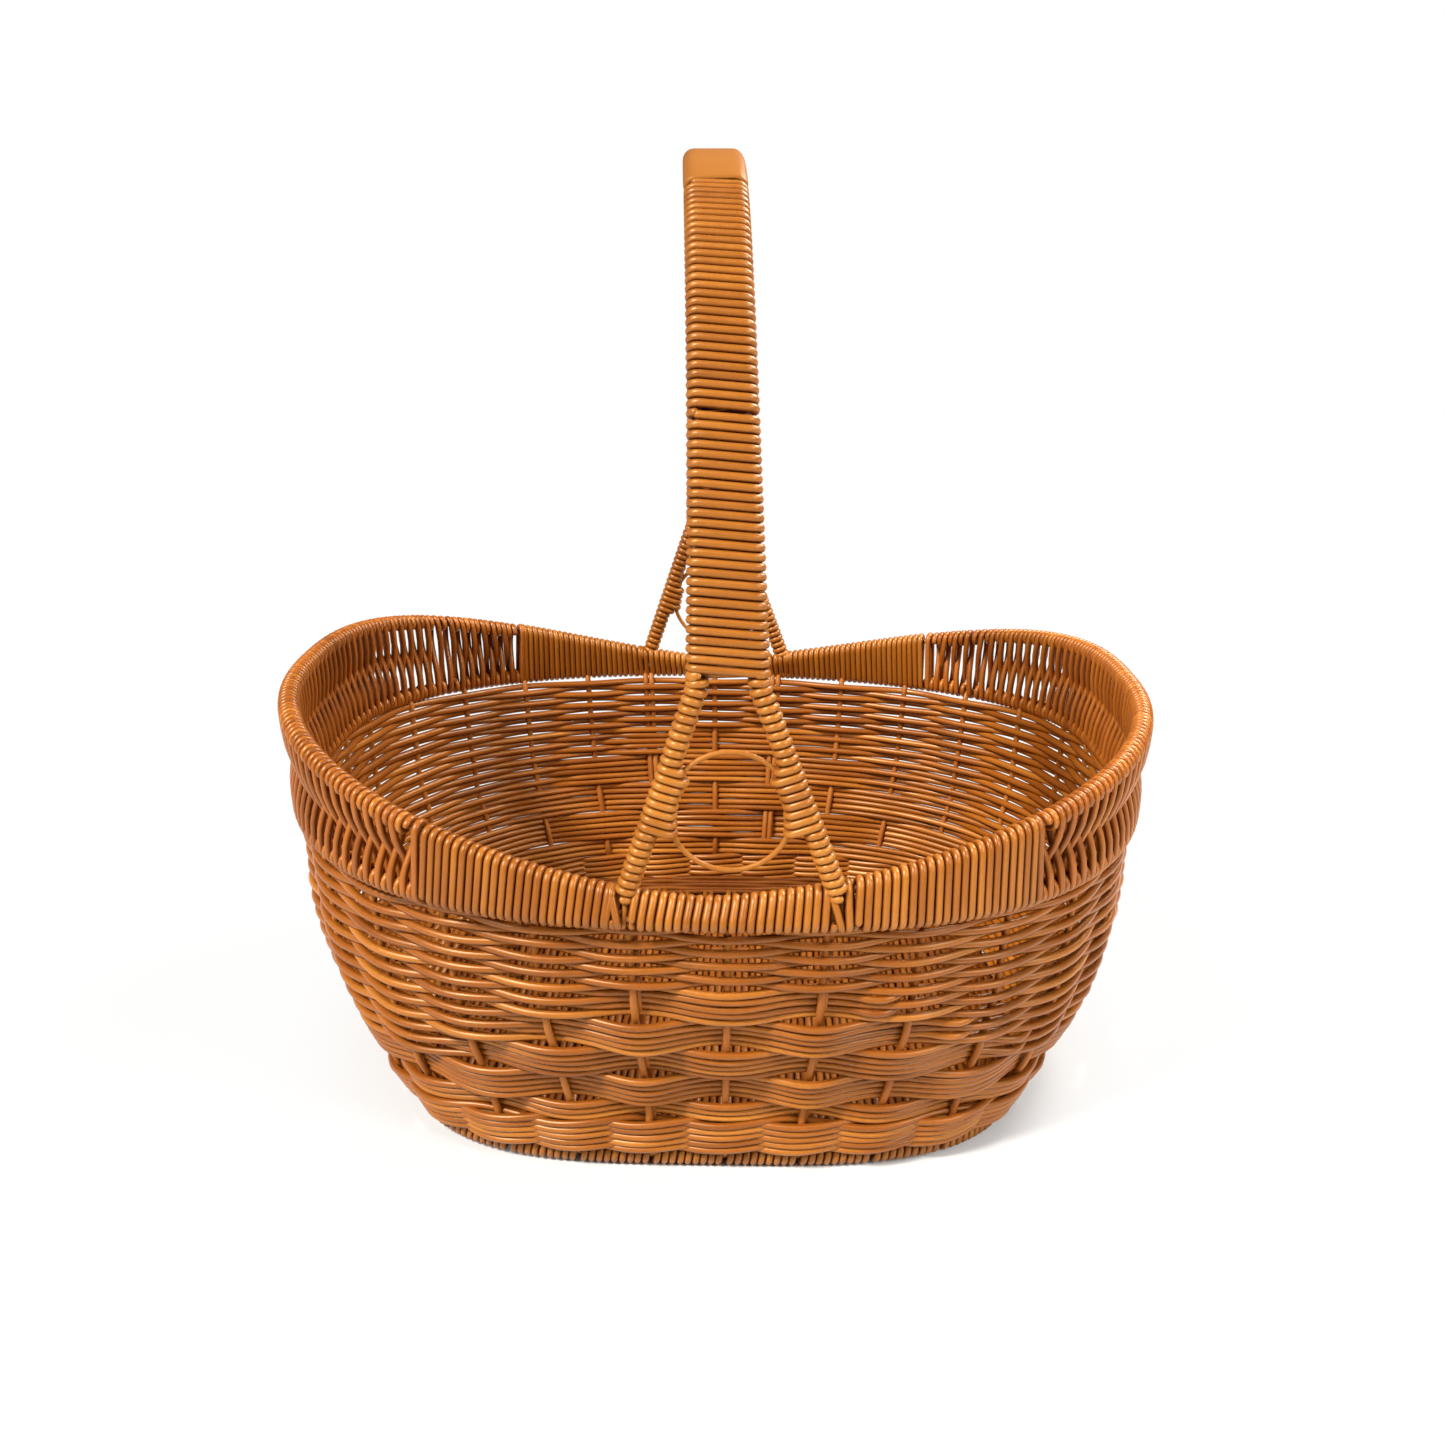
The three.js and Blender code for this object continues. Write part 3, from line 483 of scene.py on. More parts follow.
# stations round the wall, twelve to a stake interval
_x = np.r_[STAKE_F, STAKE_F[0] + 1]
WF = np.concatenate([_x[i] + (_x[i + 1] - _x[i]) * np.arange(12) / 12 for i in range(NST)])
WN = stake_number(WF)

def wobble(n, amp, waves=9):
    """Smooth closed random curve."""
    t = 2 * math.pi * np.arange(n) / n
    out = np.zeros(n)
    for k in range(1, waves + 1):
        out += rng.normal() * np.cos(k * 3 * t + rng.random() * 6.28) / math.sqrt(waves)
    return amp * out

def pair_near(width):
    near = np.zeros(len(WF))
    for p in PAIR_N:
        d = np.minimum(np.abs(WN - p), NST - np.abs(WN - p))
        near = np.maximum(near, np.exp(-(d / width) ** 2))
    return near

WEND = (at(LOW, WF)[0] / LOW_A) ** 2                # 0 at the middle of the long sides, 1 at the ends

WBACK = smooth(-60.0, 60.0, at(LOW, WF)[1])           # 0 in front, 1 at the back

def row_spread(q):
    """Spacing of the rows against the spacing at the front centre."""
    P1, P0 = wall_at(WF, min(q + 0.014, 1.0)), wall_at(WF, max(q - 0.014, 0.0))
    g = np.linalg.norm(P1 - P0, axis=1)
    return g / g[np.argmin(np.abs(WN))]

def row_shift(k):
    """The three upper tiers are bundles only near the middle of the long sides; beyond that every
    second row moves on by one stake, so that single rows alternate there."""
    tier = (27 - k) // 5
    if tier > 2 or ROW_SIGN[k] == (1 if (27 - k) % 2 == 0 else -1):
        return 0.0
    away = np.minimum(np.minimum(np.abs(WN), np.abs(NST - WN)), np.abs(WN - 16))
    edge = 1.25 + 0.9 * tier
    return smooth(edge, edge + 1.0, away)

def weave_row(batch, q, sign, amp, mid=0.0, twist=0.0, bulge=0.0, shape=1.0, drift=None, loose=0.0020, ends=0.0, tuck=0.0, shift=0.0):
    n = len(WF)
    qq = np.full(n, q) + wobble(n, loose) * (1 - 0.6 * WEND) * (1 - 0.45 * WBACK) + (0 if drift is None else drift)
    c = np.cos(math.pi * (WN + shift)) * sign
    a = amp * (1 - ends * WEND) * (1 - 0.42 * (tuck > 0) * WBACK) + wobble(n, 0.12)
    off = mid + a * pw(c, shape) + bulge * pair_near(0.5) * np.maximum(c, 0) + wobble(n, 0.10)
    P, Nn = wall_at(WF, qq), wall_normal(WF, np.clip(qq, 0.01, 0.99))
    P = P + Nn * off[:, None]
    P[:, 2] -= tuck * c * WBACK
    if twist:
        P[:, 2] += twist * np.sin(math.pi * WN) * sign
    batch.tube(P, SR * np.clip(row_spread(q), 1.0, 1.38) * (1 + 0.05 * WEND) * (1 + 0.075 * WBACK) + rng.normal() * 0.02, Nn, closed=True)

BLOCK_AMP, UPPER_AMP, BAND_AMP, BAND_OUT = 2.35, 2.25, 2.35, 1.7
b = Batch()
for k in range(5):
    for sg in (1, -1):
        weave_row(b, ROW_Q[k], sg, BAND_AMP, mid=BAND_OUT, twist=0.75, shape=0.95, loose=0.0014)
b.mesh("weave_bottom_band", mat_weave, ["wall_bottom_band"], "strand_weave")
b = Batch()
drift = None
for k in range(5, 28):
    if drift is None or ROW_SIGN[k] != ROW_SIGN[k - 1]:
        drift = wobble(len(WF), 0.0022)
    weave_row(b, ROW_Q[k], ROW_SIGN[k], BLOCK_AMP, bulge=1.2, drift=drift * (1 - 0.6 * WBACK), tuck=0.01, shift=row_shift(k))
b.mesh("weave_block_rows", mat_weave, ["wall_block_weave"], "strand_weave")
b = Batch()
for k in range(28, 37):
    weave_row(b, ROW_Q[k], ROW_SIGN[k], UPPER_AMP, loose=0.0034, ends=0.38)
b.mesh("weave_upper_rows", mat_weave, ["wall_upper_weave"], "strand_weave")

b = Batch()
shares = [("stake_%02d" % (i + 1), f) for i, f in enumerate(STAKE_F)]
shares += [("paired_stake_front_left", PHASE - STEP + 0.5 * PAIR), ("paired_stake_front_right", PHASE + STEP + 0.5 * PAIR),
           ("paired_stake_back_right", BACK_PHASE - STEP + PAIR), ("paired_stake_back_left", BACK_PHASE + STEP + PAIR)]
# a stake is pushed the other way by each bundle, and stands further out in the bottom band
_q = 0.5 * (ROW_Q[1:] + ROW_Q[:-1])
EDGE_Q = [0.0, _q[4], _q[7], _q[12], _q[17], _q[22], _q[27], 1.0]
for nm, f in shares:
    q = np.linspace(0, 1, 64)
    even = int(round(float(stake_number(np.array([f]))[0]))) % 2 == 0
    push = np.zeros_like(q)
    for z0, z1, sg in zip(EDGE_Q[1:6], EDGE_Q[2:7], (1, -1, 1, -1, 1)):
        s_ = sg if even else -sg
        t_ = np.clip((q - z0) / (z1 - z0), 0, 1)
        push += np.where((q > z0) & (q < z1), -s_ * 0.8 * np.sin(math.pi * t_), 0)
    push += BAND_OUT * (1 - smooth(EDGE_Q[1] - 0.02, EDGE_Q[1] + 0.03, q))
    if nm.startswith("paired_stake_front"):
        push -= 2.7 * smooth(0.0, 0.1, q) * (1 - smooth(0.9, 1.0, q))
    ff = np.full_like(q, f)
    P = wall_at(ff, q) + wall_normal(ff, np.clip(q, 0.01, 0.99)) * push[:, None]
    foot = foot_at(np.array([f]))[0]
    lo = low_at(np.array([f]))[0]
    P = np.vstack([foot + (P[0] - foot) * 0.3, P, lo + (P[-1] - lo) * 0.25])
    _, _, u = ring_frame(low_at, np.array([f]))
    b.tube(P, 1.5, u[0])
b.mesh("stakes", mat_stake, [nm for nm, _ in shares], "stake_rod")

# ---------------------------------------------------------------- foot ring
b = Batch()
f = np.arange(240) / 240
o, t, u = ring_frame(foot_at, f)
b.tube(o, 1.2, u, closed=True)
b.mesh("foot_wire", mat_wire, ["foot_ring_wire"], "frame_wire")
b = Batch()
turns = []
for i in range(NST):
    a, e = _x[i], _x[i + 1]
    wide = (e - a) * FOOT[3]
    n = int(round((wide - 1.5) / 3.1))
    p = (wide - 1.5) / n
    turns += [a + (0.75 + (k + 0.5) * p) / FOOT[3] for k in range(n)]
turns = np.array(turns)
turns = turns + rng.normal(size=len(turns)) * 0.08 / FOOT[3]
tpl = (np.zeros(14), 2 * math.pi * np.arange(14) / 14, np.arange(14) / 14)
def place_foot(par, lam, phi):
    o, t, u = ring_frame(foot_at, par)
    P = o + 2.6 * (np.cos(phi)[:, None] * u + np.sin(phi)[:, None] * UP)
    return P, t
P, t = winding(turns, tpl, place_foot)
b.tube(P, 1.5, t)
# painted light: the foot ring turns take the lighter handle strand colours, lifting turns that sit in the shade near
# the ground
b.mesh("foot_ring_winding", mat_strap, ["foot_ring_wrap"], "strand_wrap")

# -------------------------------------------------------------------- floor
b = Batch()
fx, fy, _, _ = oval(FOOT_A - 3.2, FOOT_B - 3.2, FOOT_N)
def half_width(v, a, bb, n=FOOT_N):
    return bb * max(0.0, 1 - abs(v / a) ** n) ** (1 / n)
ROD_Y = np.arange(-105, 106, 30.0)
pitch = 3.32
xs = np.arange(-39, 40) * pitch + 0.4
for i, x in enumerate(xs):
    h = half_width(x, FOOT_A - 3.0, FOOT_B - 3.0)
    if h < 12: continue
    y = np.linspace(-h, h, max(8, int(2 * h / 3.4)))
    sign = 1 if (i // 2) % 2 else -1
    z = 6.5 + sign * 1.5 * np.cos(math.pi * (y - ROD_Y[0]) / 30.0) + rng.normal() * 0.08
    w = np.abs(y) > h - 6
    P = np.stack([np.full_like(y, x) + wobble(len(y), 0.10), y, z], -1)
    b.tube(P, 1.62, np.array([1.0, 0, 0]), sides=7)
for y in ROD_Y:
    h = half_width(y, FOOT_B - 3.0, FOOT_A - 3.0)
    x = np.linspace(-h, h, 40)
    b.tube(np.stack([x, np.full_like(x, y), np.full_like(x, 6.5)], -1), 1.4, UP, sides=7)
for k in range(5):
    px, py, _, _ = oval(FOOT_A - 1.2 - 3.2 * k, FOOT_B - 1.2 - 3.2 * k, FOOT_N, 360)
    a = 2 * math.pi * np.arange(360) / 360
    z = 10.4 - 0.55 * k + 0.5 * np.cos(32 * a + math.pi * k) + wobble(360, 0.15)
    P = np.stack([px[:-1], py[:-1], z], -1)
    b.tube(P, 1.6, UP, closed=True)
b.mesh("floor_weave", mat_floor_shaded, ["floor_panel"], "strand_weave")

# --------------------------------------------------------------------- rims
f = np.arange(360) / 360
for nm, fn, node in (("lower_hoop_wire", low_at, "lower_rim_hoop"), ("upper_hoop_wire", top_at, "upper_rim_hoop")):
    b = Batch()
    o, t, u = ring_frame(fn, f)
    b.tube(o, 1.3, u, closed=True)
    b.mesh(nm, mat_wire, [node], "frame_wire")

RIM_RC = 2.9
def place_rim(par, lam, phi):
    o, t, u = ring_frame(low_at, par)
    d = top_at(par) - o
    d = d - dot(d, t) * t
    e = unit(d)
    p = unit(np.cross(t, e))
    p = np.where(dot(p, u) < 0, -p, p)
    P = o + lam[:, None] * d + RIM_RC * (np.cos(phi)[:, None] * p + np.sin(phi)[:, None] * e)
    return P, t

def place_under(par, lam, phi):
    """As place_rim, with the outer face drawn in close to the wires."""
    o, t, u = ring_frame(low_at, par)
    d = top_at(par) - o
    d = d - dot(d, t) * t
    e = unit(d)
    p = unit(np.cross(t, e))
    p = np.where(dot(p, u) < 0, -p, p)
    c = np.cos(phi)[:, None]
    P = o + lam[:, None] * d + RIM_RC * (np.where(c > 0, 0.1 * c, c) * p + 0.9 * np.sin(phi)[:, None] * e)
    return P, t

RIM_TPL = stadium(7, 3, 1.1)
def share_at_x(x, back=False):
    """Share of the lower hoop at a given x, on the front or the back side."""
    f = np.linspace(0.35, 0.65, 4001) if back else np.linspace(-0.15, 0.15, 4001)
    xs, _ = at(LOW, f)
    o = np.argsort(xs)
    return float(np.interp(x, xs[o], f[o]))

FEET = {}
for back in (False, True):
    for side in (-1, 1):
        p = wire_at(side, np.array([ARCH_L - 6.0 if back else 6.0]))[0]
        FEET[back, side] = share_at_x(p[0], back)

def rim_tail(batch, f_top, f_bot):
    """One strand laid over the outer face of the rim, its ends tucked inside."""
    phi = np.r_[math.pi, np.linspace(math.pi, 0, 8), 0, 0, np.linspace(0, -math.pi, 8), -math.pi]
    lam = np.r_[0.7, np.ones(8), 0.66, 0.33, np.zeros(8), 0.3]
    k = np.r_[0, np.zeros(5), 0.04, 0.10, 0.18, 0.38, 0.62, 0.82, 0.92, 0.98, np.ones(7)][:len(phi)]
    par = f_top + (f_bot - f_top) * k
    P, T = place_rim(par, lam, phi)
    P2, _ = place_rim(par, lam, phi + math.pi)
    w = np.r_[0.45, np.zeros(len(phi) - 2), 0.45][:, None]
    batch.tube(P * (1 - w) + P2 * w, SR, T)

mm = 1 / LOW[3]
# strands of the handle's feet over the rim: offsets in mm from the foot, top and bottom
TAILS = {-1: ((-5.6, -2.3), (-4.4, -7.0)), 1: ((-2.8, 1.4), (3.8, 4.1))}
CLEAR = {-1: (-5.6, 1.0), 1: (-3.0, 5.6)}
for nm, f0, f1, pitch, node, back in (("rim_winding_front", FRONT_L, FRONT_R, 3.20, "rim_wrap_front", False),
                                      ("rim_winding_back", BACK_R, BACK_L, 3.05, "rim_wrap_back", True)):
    b = Batch()
    cuts = [f0 + 0.3 * mm]
    for side in ((1, -1) if back else (-1, 1)):
        d = -1 if back else 1                       # at the back the count runs the other way
        lo_, hi_ = sorted((FEET[back, side] + d * CLEAR[side][0] * mm, FEET[back, side] + d * CLEAR[side][1] * mm))
        cuts += [lo_, hi_]
        n = int(round((hi_ - lo_) * LOW[3] / 3.1))
        P, t = winding(lo_ + (np.arange(n) + 0.5) * (hi_ - lo_) / n, RIM_TPL, place_under, -1 if back else 1)
        b.tube(P, SR - 0.1, t)
        for a0, a1 in TAILS[side]:
            rim_tail(b, FEET[back, side] + d * a0 * mm, FEET[back, side] + d * a1 * mm)
    cuts.append(f1 - 0.3 * mm)
    for c0, c1 in zip(cuts[::2], cuts[1::2]):
        n = int(round((c1 - c0) * LOW[3] / pitch))
        c = c0 + (np.arange(n) + 0.5) * (c1 - c0) / n
        c = c - 0.5 * (c1 - c0) / n * 0.0 + rng.normal(size=n) * 0.06 * mm
        P, t = winding(c, RIM_TPL, place_rim, -1 if back else 1)
        b.tube(P, SR, t)
    # painted light: the back rim takes the lighter handle strand colours, so that its inner face, seen over the front
    # rim, shows brighter
    b.mesh(nm, mat_strap if back else mat_wrap, [node], "strand_wrap")

# ------------------------------------------------------------- end lattices
def lattice(name, node, start, direction, length, cells, slot):
    m0 = 3.8                                        # the last strands at both ends stand upright
    c = (length - 2 * m0) / cells
    X, W, co, si = [], [], [], []
    def add(x, w, a, b_):
        X.append(x); W.append(w); co.append(a); si.append(b_)
    for i in range(5):                               # starts inside, over the top hoop
        add(0, 1, -math.cos(math.pi * i / 5), math.sin(math.pi * i / 5))
    for j in range(cells):
        sway = rng.normal() * 0.05
        for k in np.arange(8) / 8:                   # outside of the top hoop to the inside of the low hoop
            g = smooth(0, 1, k)
            add(j + 0.5 * (0.35 * k + 0.65 * g) + sway * math.sin(math.pi * k), 1 - k, 1 - 2 * smooth(0.15, 0.85, k), 0)
        for i in range(6):                           # under the low hoop
            add(j + 0.5, 0, -math.cos(math.pi * i / 6), -math.sin(math.pi * i / 6))
        sway = rng.normal() * 0.05
        for k in np.arange(8) / 8:                   # and back up to the inside of the top hoop
            g = smooth(0, 1, k)
            add(j + 0.5 + 0.5 * (0.35 * k + 0.65 * g) + sway * math.sin(math.pi * k), k, 1 - 2 * smooth(0.15, 0.85, k), 0)
        for i in range(6):                           # over the top hoop
            add(j + 1, 1, -math.cos(math.pi * i / 6), math.sin(math.pi * i / 6))
    X, W, co, si = (np.array(v, float) for v in (X, W, co, si))
    def place(x, w, co, si):
        sm = m0 + x * c
        w5 = 5.0
        warp = lambda v: v + 0.45 * w5 * np.tanh((v - slot) / w5)
        sm = (warp(sm) - warp(0.0)) * length / (warp(length) - warp(0.0))
        fpar = start + direction * sm / LOW[3]
        o, t, u = ring_frame(low_at, fpar)
        d = top_at(fpar) - o
        e = unit(d - dot(d, t) * t)
        p = unit(np.cross(t, e))
        p = np.where(dot(p, u) < 0, -p, p)
        return o + w[:, None] * d + RIM_RC * (co[:, None] * p + si[:, None] * e), t
    b = Batch()
    P, t = place(X, W, co, si)
    b.tube(P, SR, t)
    a = 2 * math.pi * np.arange(12) / 12
    one = np.ones(12)
    for j in range(cells + 1):                       # single turns that cover the wires in between
        x = j if 0 < j < cells else (0.06 if j == 0 else cells - 0.06)
        P, t = place((x + rng.normal() * 0.02) * one, 0 * one, np.cos(a), np.sin(a))
        b.tube(P, SR - 0.05, t, closed=True)
        if j < cells:
            P, t = place((j + 0.5 + rng.normal() * 0.02) * one, one, np.cos(a), np.sin(a))
            b.tube(P, SR - 0.05, t, closed=True)
    lam, phi, _ = RIM_TPL
    for sm in (1.5, length - 1.5):
        P, t = place_rim(start + direction * np.full(len(lam), sm) / LOW[3], lam, phi)
        b.tube(P, SR, t, closed=True)
    b.mesh(name, mat_lattice, [node], "strand_lattice")
lattice("lattice_left", "end_lattice_left", BACK_L, 1, (1 + FRONT_L - BACK_L) * LOW[3], 51, 45.0)
lattice("lattice_right", "end_lattice_right", BACK_R, -1, (BACK_R - FRONT_R) * LOW[3], 48, 26.0)

# ------------------------------------------------------------------- handle
dMid = ARCH_L / 2
for side, nm, node in ((-1, "handle_frame_left", "handle_wire_left"), (1, "handle_frame_right", "handle_wire_right")):
    b = Batch()
    d = np.linspace(2.5, ARCH_L - 2.5, 220)
    o, t, x, n = wire_frame(side, d)
    b.tube(o, 1.3, x)
    b.mesh(nm, mat_wire, [node], "frame_wire")

STRAP_RC = 2.75
def place_strap(par, lam, phi):
    o, t, x, n = arch_frame(par)
    w = wire_offset(par)[:, None]
    # lam 0 is the left wire; angle 0 is the face turned outwards
    P = o + (2 * lam[:, None] - 1) * w * x + STRAP_RC * (np.sin(phi)[:, None] * x + np.cos(phi)[:, None] * n)
    return P, t
# most of the lean lies on the outer face
_l, _p, _a = stadium(7, 4, 2.0)
_face = np.r_[np.linspace(0, 0.62, 5)[:4], np.linspace(0.62, 0.74, 8)[:7], np.linspace(0.74, 0.88, 5)[:4], np.linspace(0.88, 1.0, 8)[:7]]
STRAP_TPL = (_l, _p, _face)
dF = len_at_z(FORK_Z + 6.4)
NOTCH = len_at_z(TOP_Z + 168.3)                      # one strand ends and the next begins here
for nm, runs, node in (("strap_winding_front", ((dF, NOTCH), (NOTCH + 4.1, dMid - GRIP_HALF - 1.3)), "handle_wrap_front"),
                       ("strap_winding_back", ((dMid + GRIP_HALF + 1.3, ARCH_L - dF),), "handle_wrap_back")):
    b = Batch()
    for d0, d1 in runs:
        n = int(round(abs(d1 - d0) / 3.174)) + 1
        c = np.linspace(d0, d1, n) + rng.normal(size=n) * 0.05
        P, t = winding(c[::-1] if d0 < dMid else c, STRAP_TPL, place_strap)
        b.tube(P, SR, t)
    b.mesh(nm, mat_strap, [node], "strand_wrap")

# smooth sleeve on the crown
b = Batch()
d = np.linspace(dMid - GRIP_HALF, dMid + GRIP_HALF, 90)
o, t, x, n = arch_frame(d)
w = wire_offset(d)
ends = np.minimum(d - d[0], d[-1] - d)
grow = 1 - 0.10 * np.exp(-(ends / 1.2) ** 2)
SEC = 28
lam, phi, _ = stadium(10, 4, 2.0)
m = len(lam)
ring_pts = []
for i in range(len(d)):
    rr = (4.35 + 0.05 * math.sin(2 * math.pi * d[i] / 3.17)) * grow[i]
    ring_pts.append(o[i] + ((2 * lam - 1) * w[i])[:, None] * x[i] + rr * (np.sin(phi)[:, None] * x[i] - np.cos(phi)[:, None] * n[i]))
X = np.array(ring_pts)
inner = X.mean(1, keepdims=True) + (X - X.mean(1, keepdims=True)) * 0.86
X = np.concatenate([inner[:1], X, inner[-1:]])
Nn = len(X)
i = np.arange(Nn - 1)[:, None]; j = np.arange(m)[None]
Q = np.stack([i * m + j, (i + 1) * m + j, (i + 1) * m + (j + 1) % m, i * m + (j + 1) % m], -1).reshape(-1, 4)
b.v.append(X.reshape(-1, 3)); b.q.append(Q); b.n = Nn * m
A = np.zeros((Nn, m, 3)); A[..., 0] = np.cos(phi)[None]; A[..., 1] = np.sin(phi)[None]
A[..., 2] = np.r_[d[0], d, d[-1]][:, None]
b.a.append(A.reshape(-1, 3)); b.s.append(np.full(Nn * m, 0.55))
mat_sleeve = strand_material("grip sleeve", (0.235, 0.076, 0.0095), (0.315, 0.113, 0.017), (0.41, 0.162, 0.029), rough=0.44, coat=0.0, stripe=0.08, tone=0.1, bump=0.05)
b.mesh("grip_sleeve", mat_sleeve, ["handle_grip_sleeve"], "grip_sleeve")

# rings and legs
def ring_centre(back):
    return arch_frame(np.array([len_at_z(RING_Z, back)]))
for back, nm, node in ((False, "ring_front_wire", "ring_front"), (True, "ring_back_wire", "ring_back")):
    o, t, x, n = (k[0] for k in ring_centre(back))
    a = 2 * math.pi * np.arange(96) / 96
    P = o + RING_R * (np.cos(a)[:, None] * x + np.sin(a)[:, None] * t)
    b = Batch()
    b.tube(P, RING_WIRE_R, n, closed=True)
    b.mesh(nm, mat_ring, [node], "ring_wire")

LEG_RC = 2.65
LEG_TPL = stadium(7, 2, 0.3)
# most of the advance lies on the face turned inwards
LEG_TPL = (LEG_TPL[0], LEG_TPL[1], np.interp(np.arange(18), [0, 2, 5.5, 9, 11, 14.5, 18], [0, 0.05, 0.09, 0.25, 0.75, 0.93, 1.0]))
# on the back legs, which are seen from inside, on the face turned outwards
LEG_TPL_BACK = (LEG_TPL[0], LEG_TPL[1], np.interp(np.arange(18), [0, 1.5, 4, 9, 14, 16.5, 18], [0, 0.28, 0.44, 0.5, 0.56, 0.72, 1.0]))
for back in (False, True):
    for side in (-1, 1):
        ro, rt, rx, rn = (k[0] for k in ring_centre(back))
        d_top = len_at_z(FORK_Z + 4.0, back)
        d_foot = ARCH_L - 7.2 if back else 7.2
        n = int(round(abs(d_top - d_foot) / 2.90))
        c = np.linspace(d_top, d_foot, n)
        def place_leg(par, lam, phi):
            o, t, x, nn_ = wire_frame(side, par)
            out = nn_                                 # away from the basket's middle
            # nearest point of the ring in the plane across the leg
            h = dot(o - ro, rt)[:, 0]
            hw = np.clip(h, -RING_R * 0.98, RING_R * 0.98)
            rp = ro + side * np.sqrt(RING_R ** 2 - hw ** 2)[:, None] * rx + hw[:, None] * rt
            dv = rp - o
            dv = dv - dot(dv, t) * t
            dist = np.linalg.norm(dv, axis=1)
            if back:
                bind = smooth(-12.0, -10.0, h) * (1 - smooth(3.0, 4.5, h)) * (1 - smooth(5.5, 7.5, dist))
            else:
                bind = smooth(-6.6, -4.6, h) * (1 - smooth(15.0, 17.0, h))
            e = -side * x
            reach = np.clip(dist, 0, 4.4 if back else 7.5) * bind
            P = o + (lam * reach)[:, None] * e + LEG_RC * (np.cos(phi)[:, None] * out + np.sin(phi)[:, None] * e)
            return P, t
        P, t = winding(c, LEG_TPL_BACK if back else LEG_TPL, place_leg, -1)
        nm = ("back" if back else "front") + ("_left" if side < 0 else "_right")
        b = Batch()
        b.tube(P, SR + 0.05, t)
        b.mesh("leg_winding_" + nm, mat_strap, ["leg_wrap_" + nm], "strand_wrap")

# ------------------------------------------------------- camera, floor, light
scene = bpy.context.scene
yaw, pitch_, roll = map(math.radians, (-1.226, -18.984, 0.031))
fwd = np.array([math.sin(yaw) * math.cos(pitch_), math.cos(yaw) * math.cos(pitch_), math.sin(pitch_)])
right = np.array([math.cos(yaw), -math.sin(yaw), 0.0])
upv = np.cross(right, fwd)
r2 = right * math.cos(roll) + upv * math.sin(roll)
u2 = np.cross(r2, fwd)
cam = bpy.data.cameras.new("camera")
cam.sensor_width = 36.0
cam.lens = 1346.477 * 36.0 / 1445
cam.clip_start = 0.01
co = bpy.data.objects.new("camera", cam)
from mathutils import Matrix
M = Matrix(((r2[0], u2[0], -fwd[0], 0.01487), (r2[1], u2[1], -fwd[1], -0.582535), (r2[2], u2[2], -fwd[2], 0.347734), (0, 0, 0, 1)))
co.matrix_world = M
scene.collection.objects.link(co)
scene.camera = co

bpy.ops.mesh.primitive_plane_add(size=8, location=(0, 1.0, 0))
ground = bpy.context.object
ground.name = "ground"
gm = bpy.data.materials.new("pale ground")
gm.use_nodes = True
gt = gm.node_tree
gb = gt.nodes["Principled BSDF"]
gb.inputs["Base Color"].default_value = (0.60, 0.60, 0.59, 1)
gb.inputs["Roughness"].default_value = 0.8
glow = gt.nodes.new("ShaderNodeEmission")
glow.inputs[0].default_value = (1, 1, 1, 1)
seen = gt.nodes.new("ShaderNodeLightPath")
where = gt.nodes.new("ShaderNodeNewGeometry")
dist = gt.nodes.new("ShaderNodeVectorMath"); dist.operation = "LENGTH"
gt.links.new(where.outputs["Position"], dist.inputs[0])
def ease(a, b, top):
    k = gt.nodes.new("ShaderNodeMapRange"); k.interpolation_type = "SMOOTHSTEP"
    k.inputs["From Min"].default_value, k.inputs["From Max"].default_value = a, b
    k.inputs["To Min"].default_value, k.inputs["To Max"].default_value = 0.0, top
    gt.links.new(dist.outputs["Value"], k.inputs["Value"])
    return k.outputs["Result"]
far = gt.nodes.new("ShaderNodeMath")                 # nothing under the basket, paper white far away
gt.links.new(ease(0.125, 0.21, 0.89), far.inputs[0])
gt.links.new(ease(0.25, 1.1, 0.11), far.inputs[1])
both = gt.nodes.new("ShaderNodeMath"); both.operation = "MULTIPLY"
gt.links.new(far.outputs[0], both.inputs[0])
# painted shade: the ground's colour under the basket is a dark brown, standing in for the shade there and for the light
# that reaches it through brown strands
under = gt.nodes.new("ShaderNodeMix"); under.data_type = "RGBA"
gt.links.new(ease(0.095, 0.12, 1.0), under.inputs["Factor"])
under.inputs[6].default_value = (0.16, 0.070, 0.028, 1)
under.inputs[7].default_value = (0.60, 0.60, 0.59, 1)
gt.links.new(under.outputs[2], gb.inputs["Base Color"])
gt.links.new(seen.outputs["Is Camera Ray"], both.inputs[1])
gmix = gt.nodes.new("ShaderNodeMixShader")
gt.links.new(both.outputs[0], gmix.inputs[0])
gt.links.new(gb.outputs[0], gmix.inputs[1])
gt.links.new(glow.outputs[0], gmix.inputs[2])
gt.links.new(gmix.outputs[0], gt.nodes["Material Output"].inputs[0])
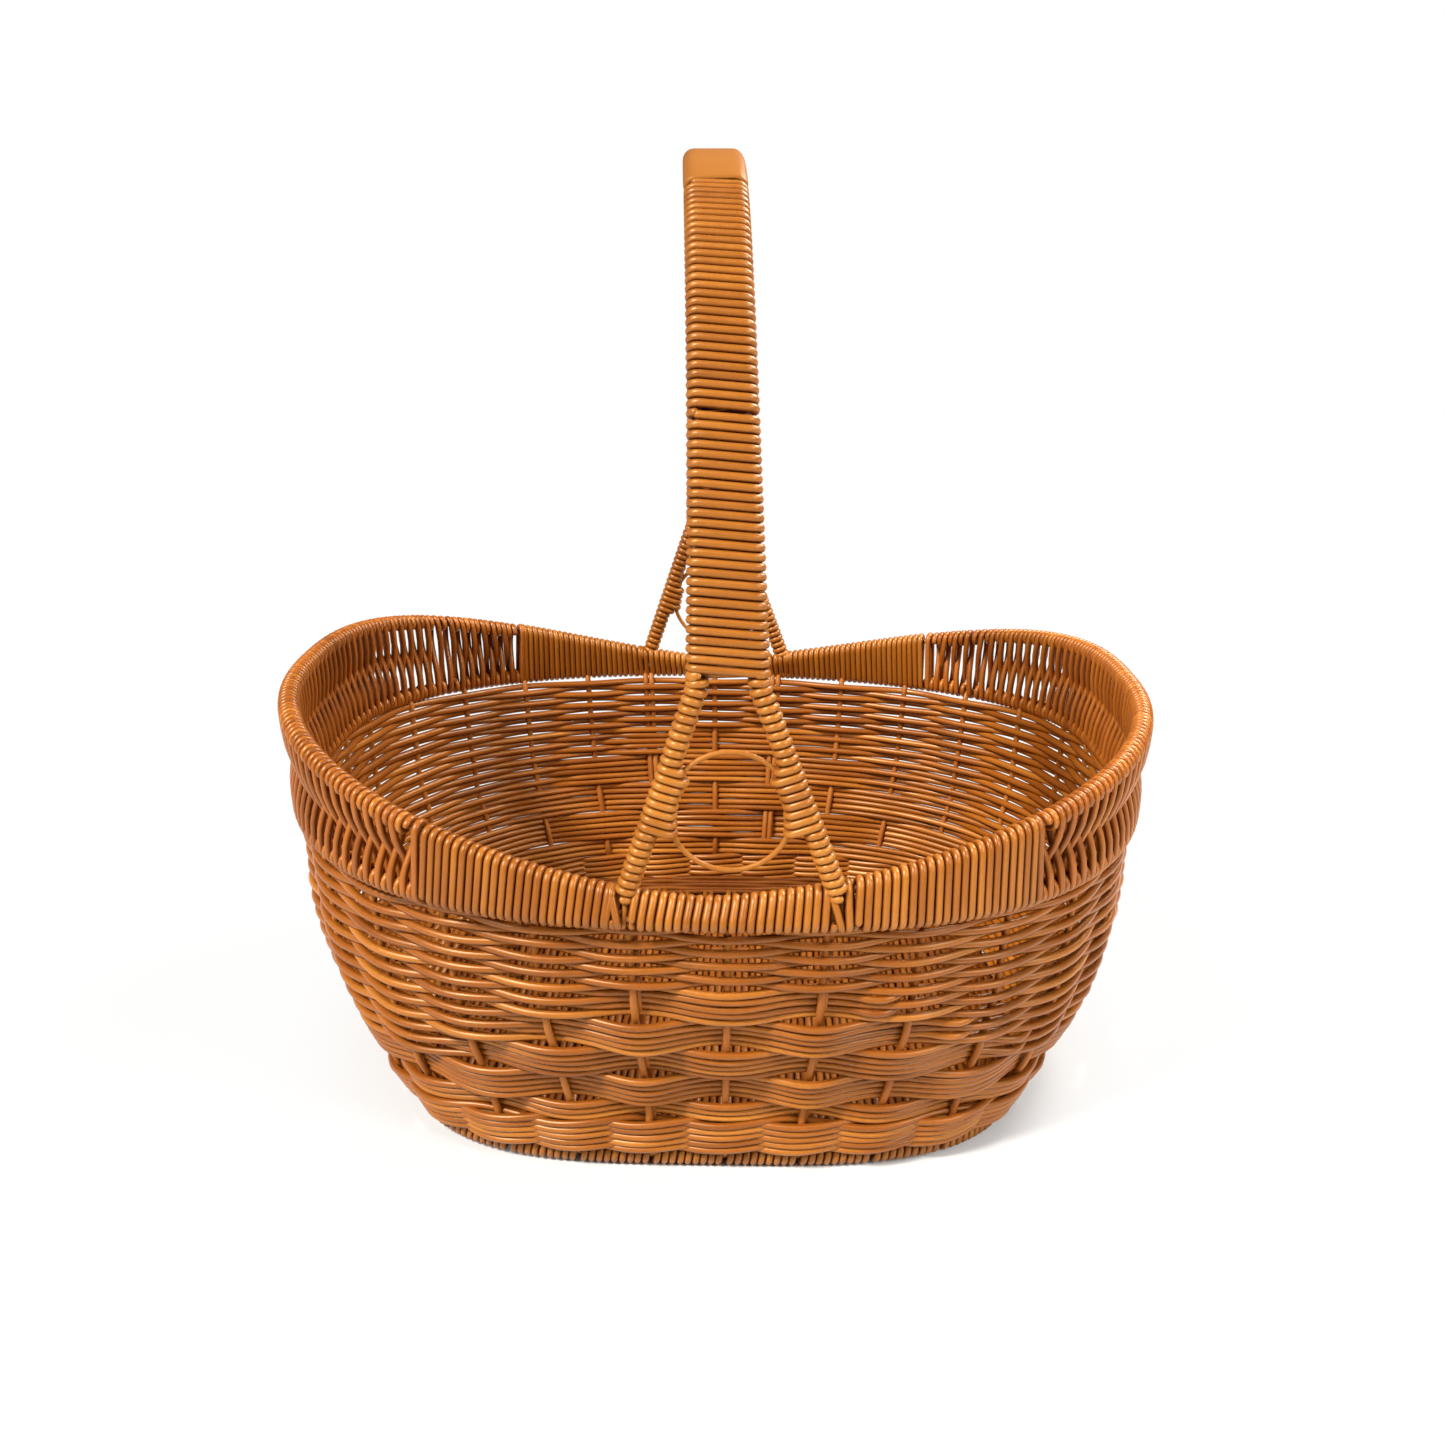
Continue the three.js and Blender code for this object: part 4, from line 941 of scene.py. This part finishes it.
ground.data.materials.append(gm)
ground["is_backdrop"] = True

world = bpy.data.worlds.new("studio")
scene.world = world
world.use_nodes = True
bg = world.node_tree.nodes["Background"]
bg.inputs[0].default_value = (1.0, 0.985, 0.96, 1)
bg.inputs[1].default_value = 0.17
# the backdrop itself is white where it is seen directly
white = world.node_tree.nodes.new("ShaderNodeBackground")
white.inputs[0].default_value = (1, 1, 1, 1)
white.inputs[1].default_value = 1.0
path = world.node_tree.nodes.new("ShaderNodeLightPath")
mixw = world.node_tree.nodes.new("ShaderNodeMixShader")
world.node_tree.links.new(path.outputs["Is Camera Ray"], mixw.inputs[0])
world.node_tree.links.new(bg.outputs[0], mixw.inputs[1])
world.node_tree.links.new(white.outputs[0], mixw.inputs[2])
world.node_tree.links.new(mixw.outputs[0], world.node_tree.nodes["World Output"].inputs[0])

def area(name, loc, target, size, power, colour=(1, 1, 1)):
    l = bpy.data.lights.new(name, "AREA")
    l.shape = "RECTANGLE"
    l.size, l.size_y = size
    l.energy = power
    l.color = colour
    o = bpy.data.objects.new(name, l)
    v = np.array(target, float) - np.array(loc, float)
    from mathutils import Vector
    o.rotation_euler = Vector(v).to_track_quat("-Z", "Y").to_euler()
    o.location = loc
    scene.collection.objects.link(o)
    return o
sun = bpy.data.lights.new("key", "SUN")
sun.energy = 5.0
sun.angle = math.radians(10)
sun.color = (1, 0.97, 0.93)
so = bpy.data.objects.new("key", sun)
from mathutils import Vector
so.rotation_euler = Vector((0.66, 0.50, -1.0)).to_track_quat("-Z", "Y").to_euler()
so.location = (-0.4, -0.7, 1.2)
scene.collection.objects.link(so)
area("right", (0.75, -0.65, 0.75), (0, 0, 0.12), (0.35, 0.5), 8, (1, 0.98, 0.95))
area("inside", (0.55, 0.35, 0.85), (-0.12, 0.02, 0.13), (0.4, 0.4), 13, (1, 0.97, 0.93))
area("front", (-0.95, -0.85, 0.75), (0, 0, 0.12), (0.3, 0.3), 5)

scene.view_settings.view_transform = "Standard"

lo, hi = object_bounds()
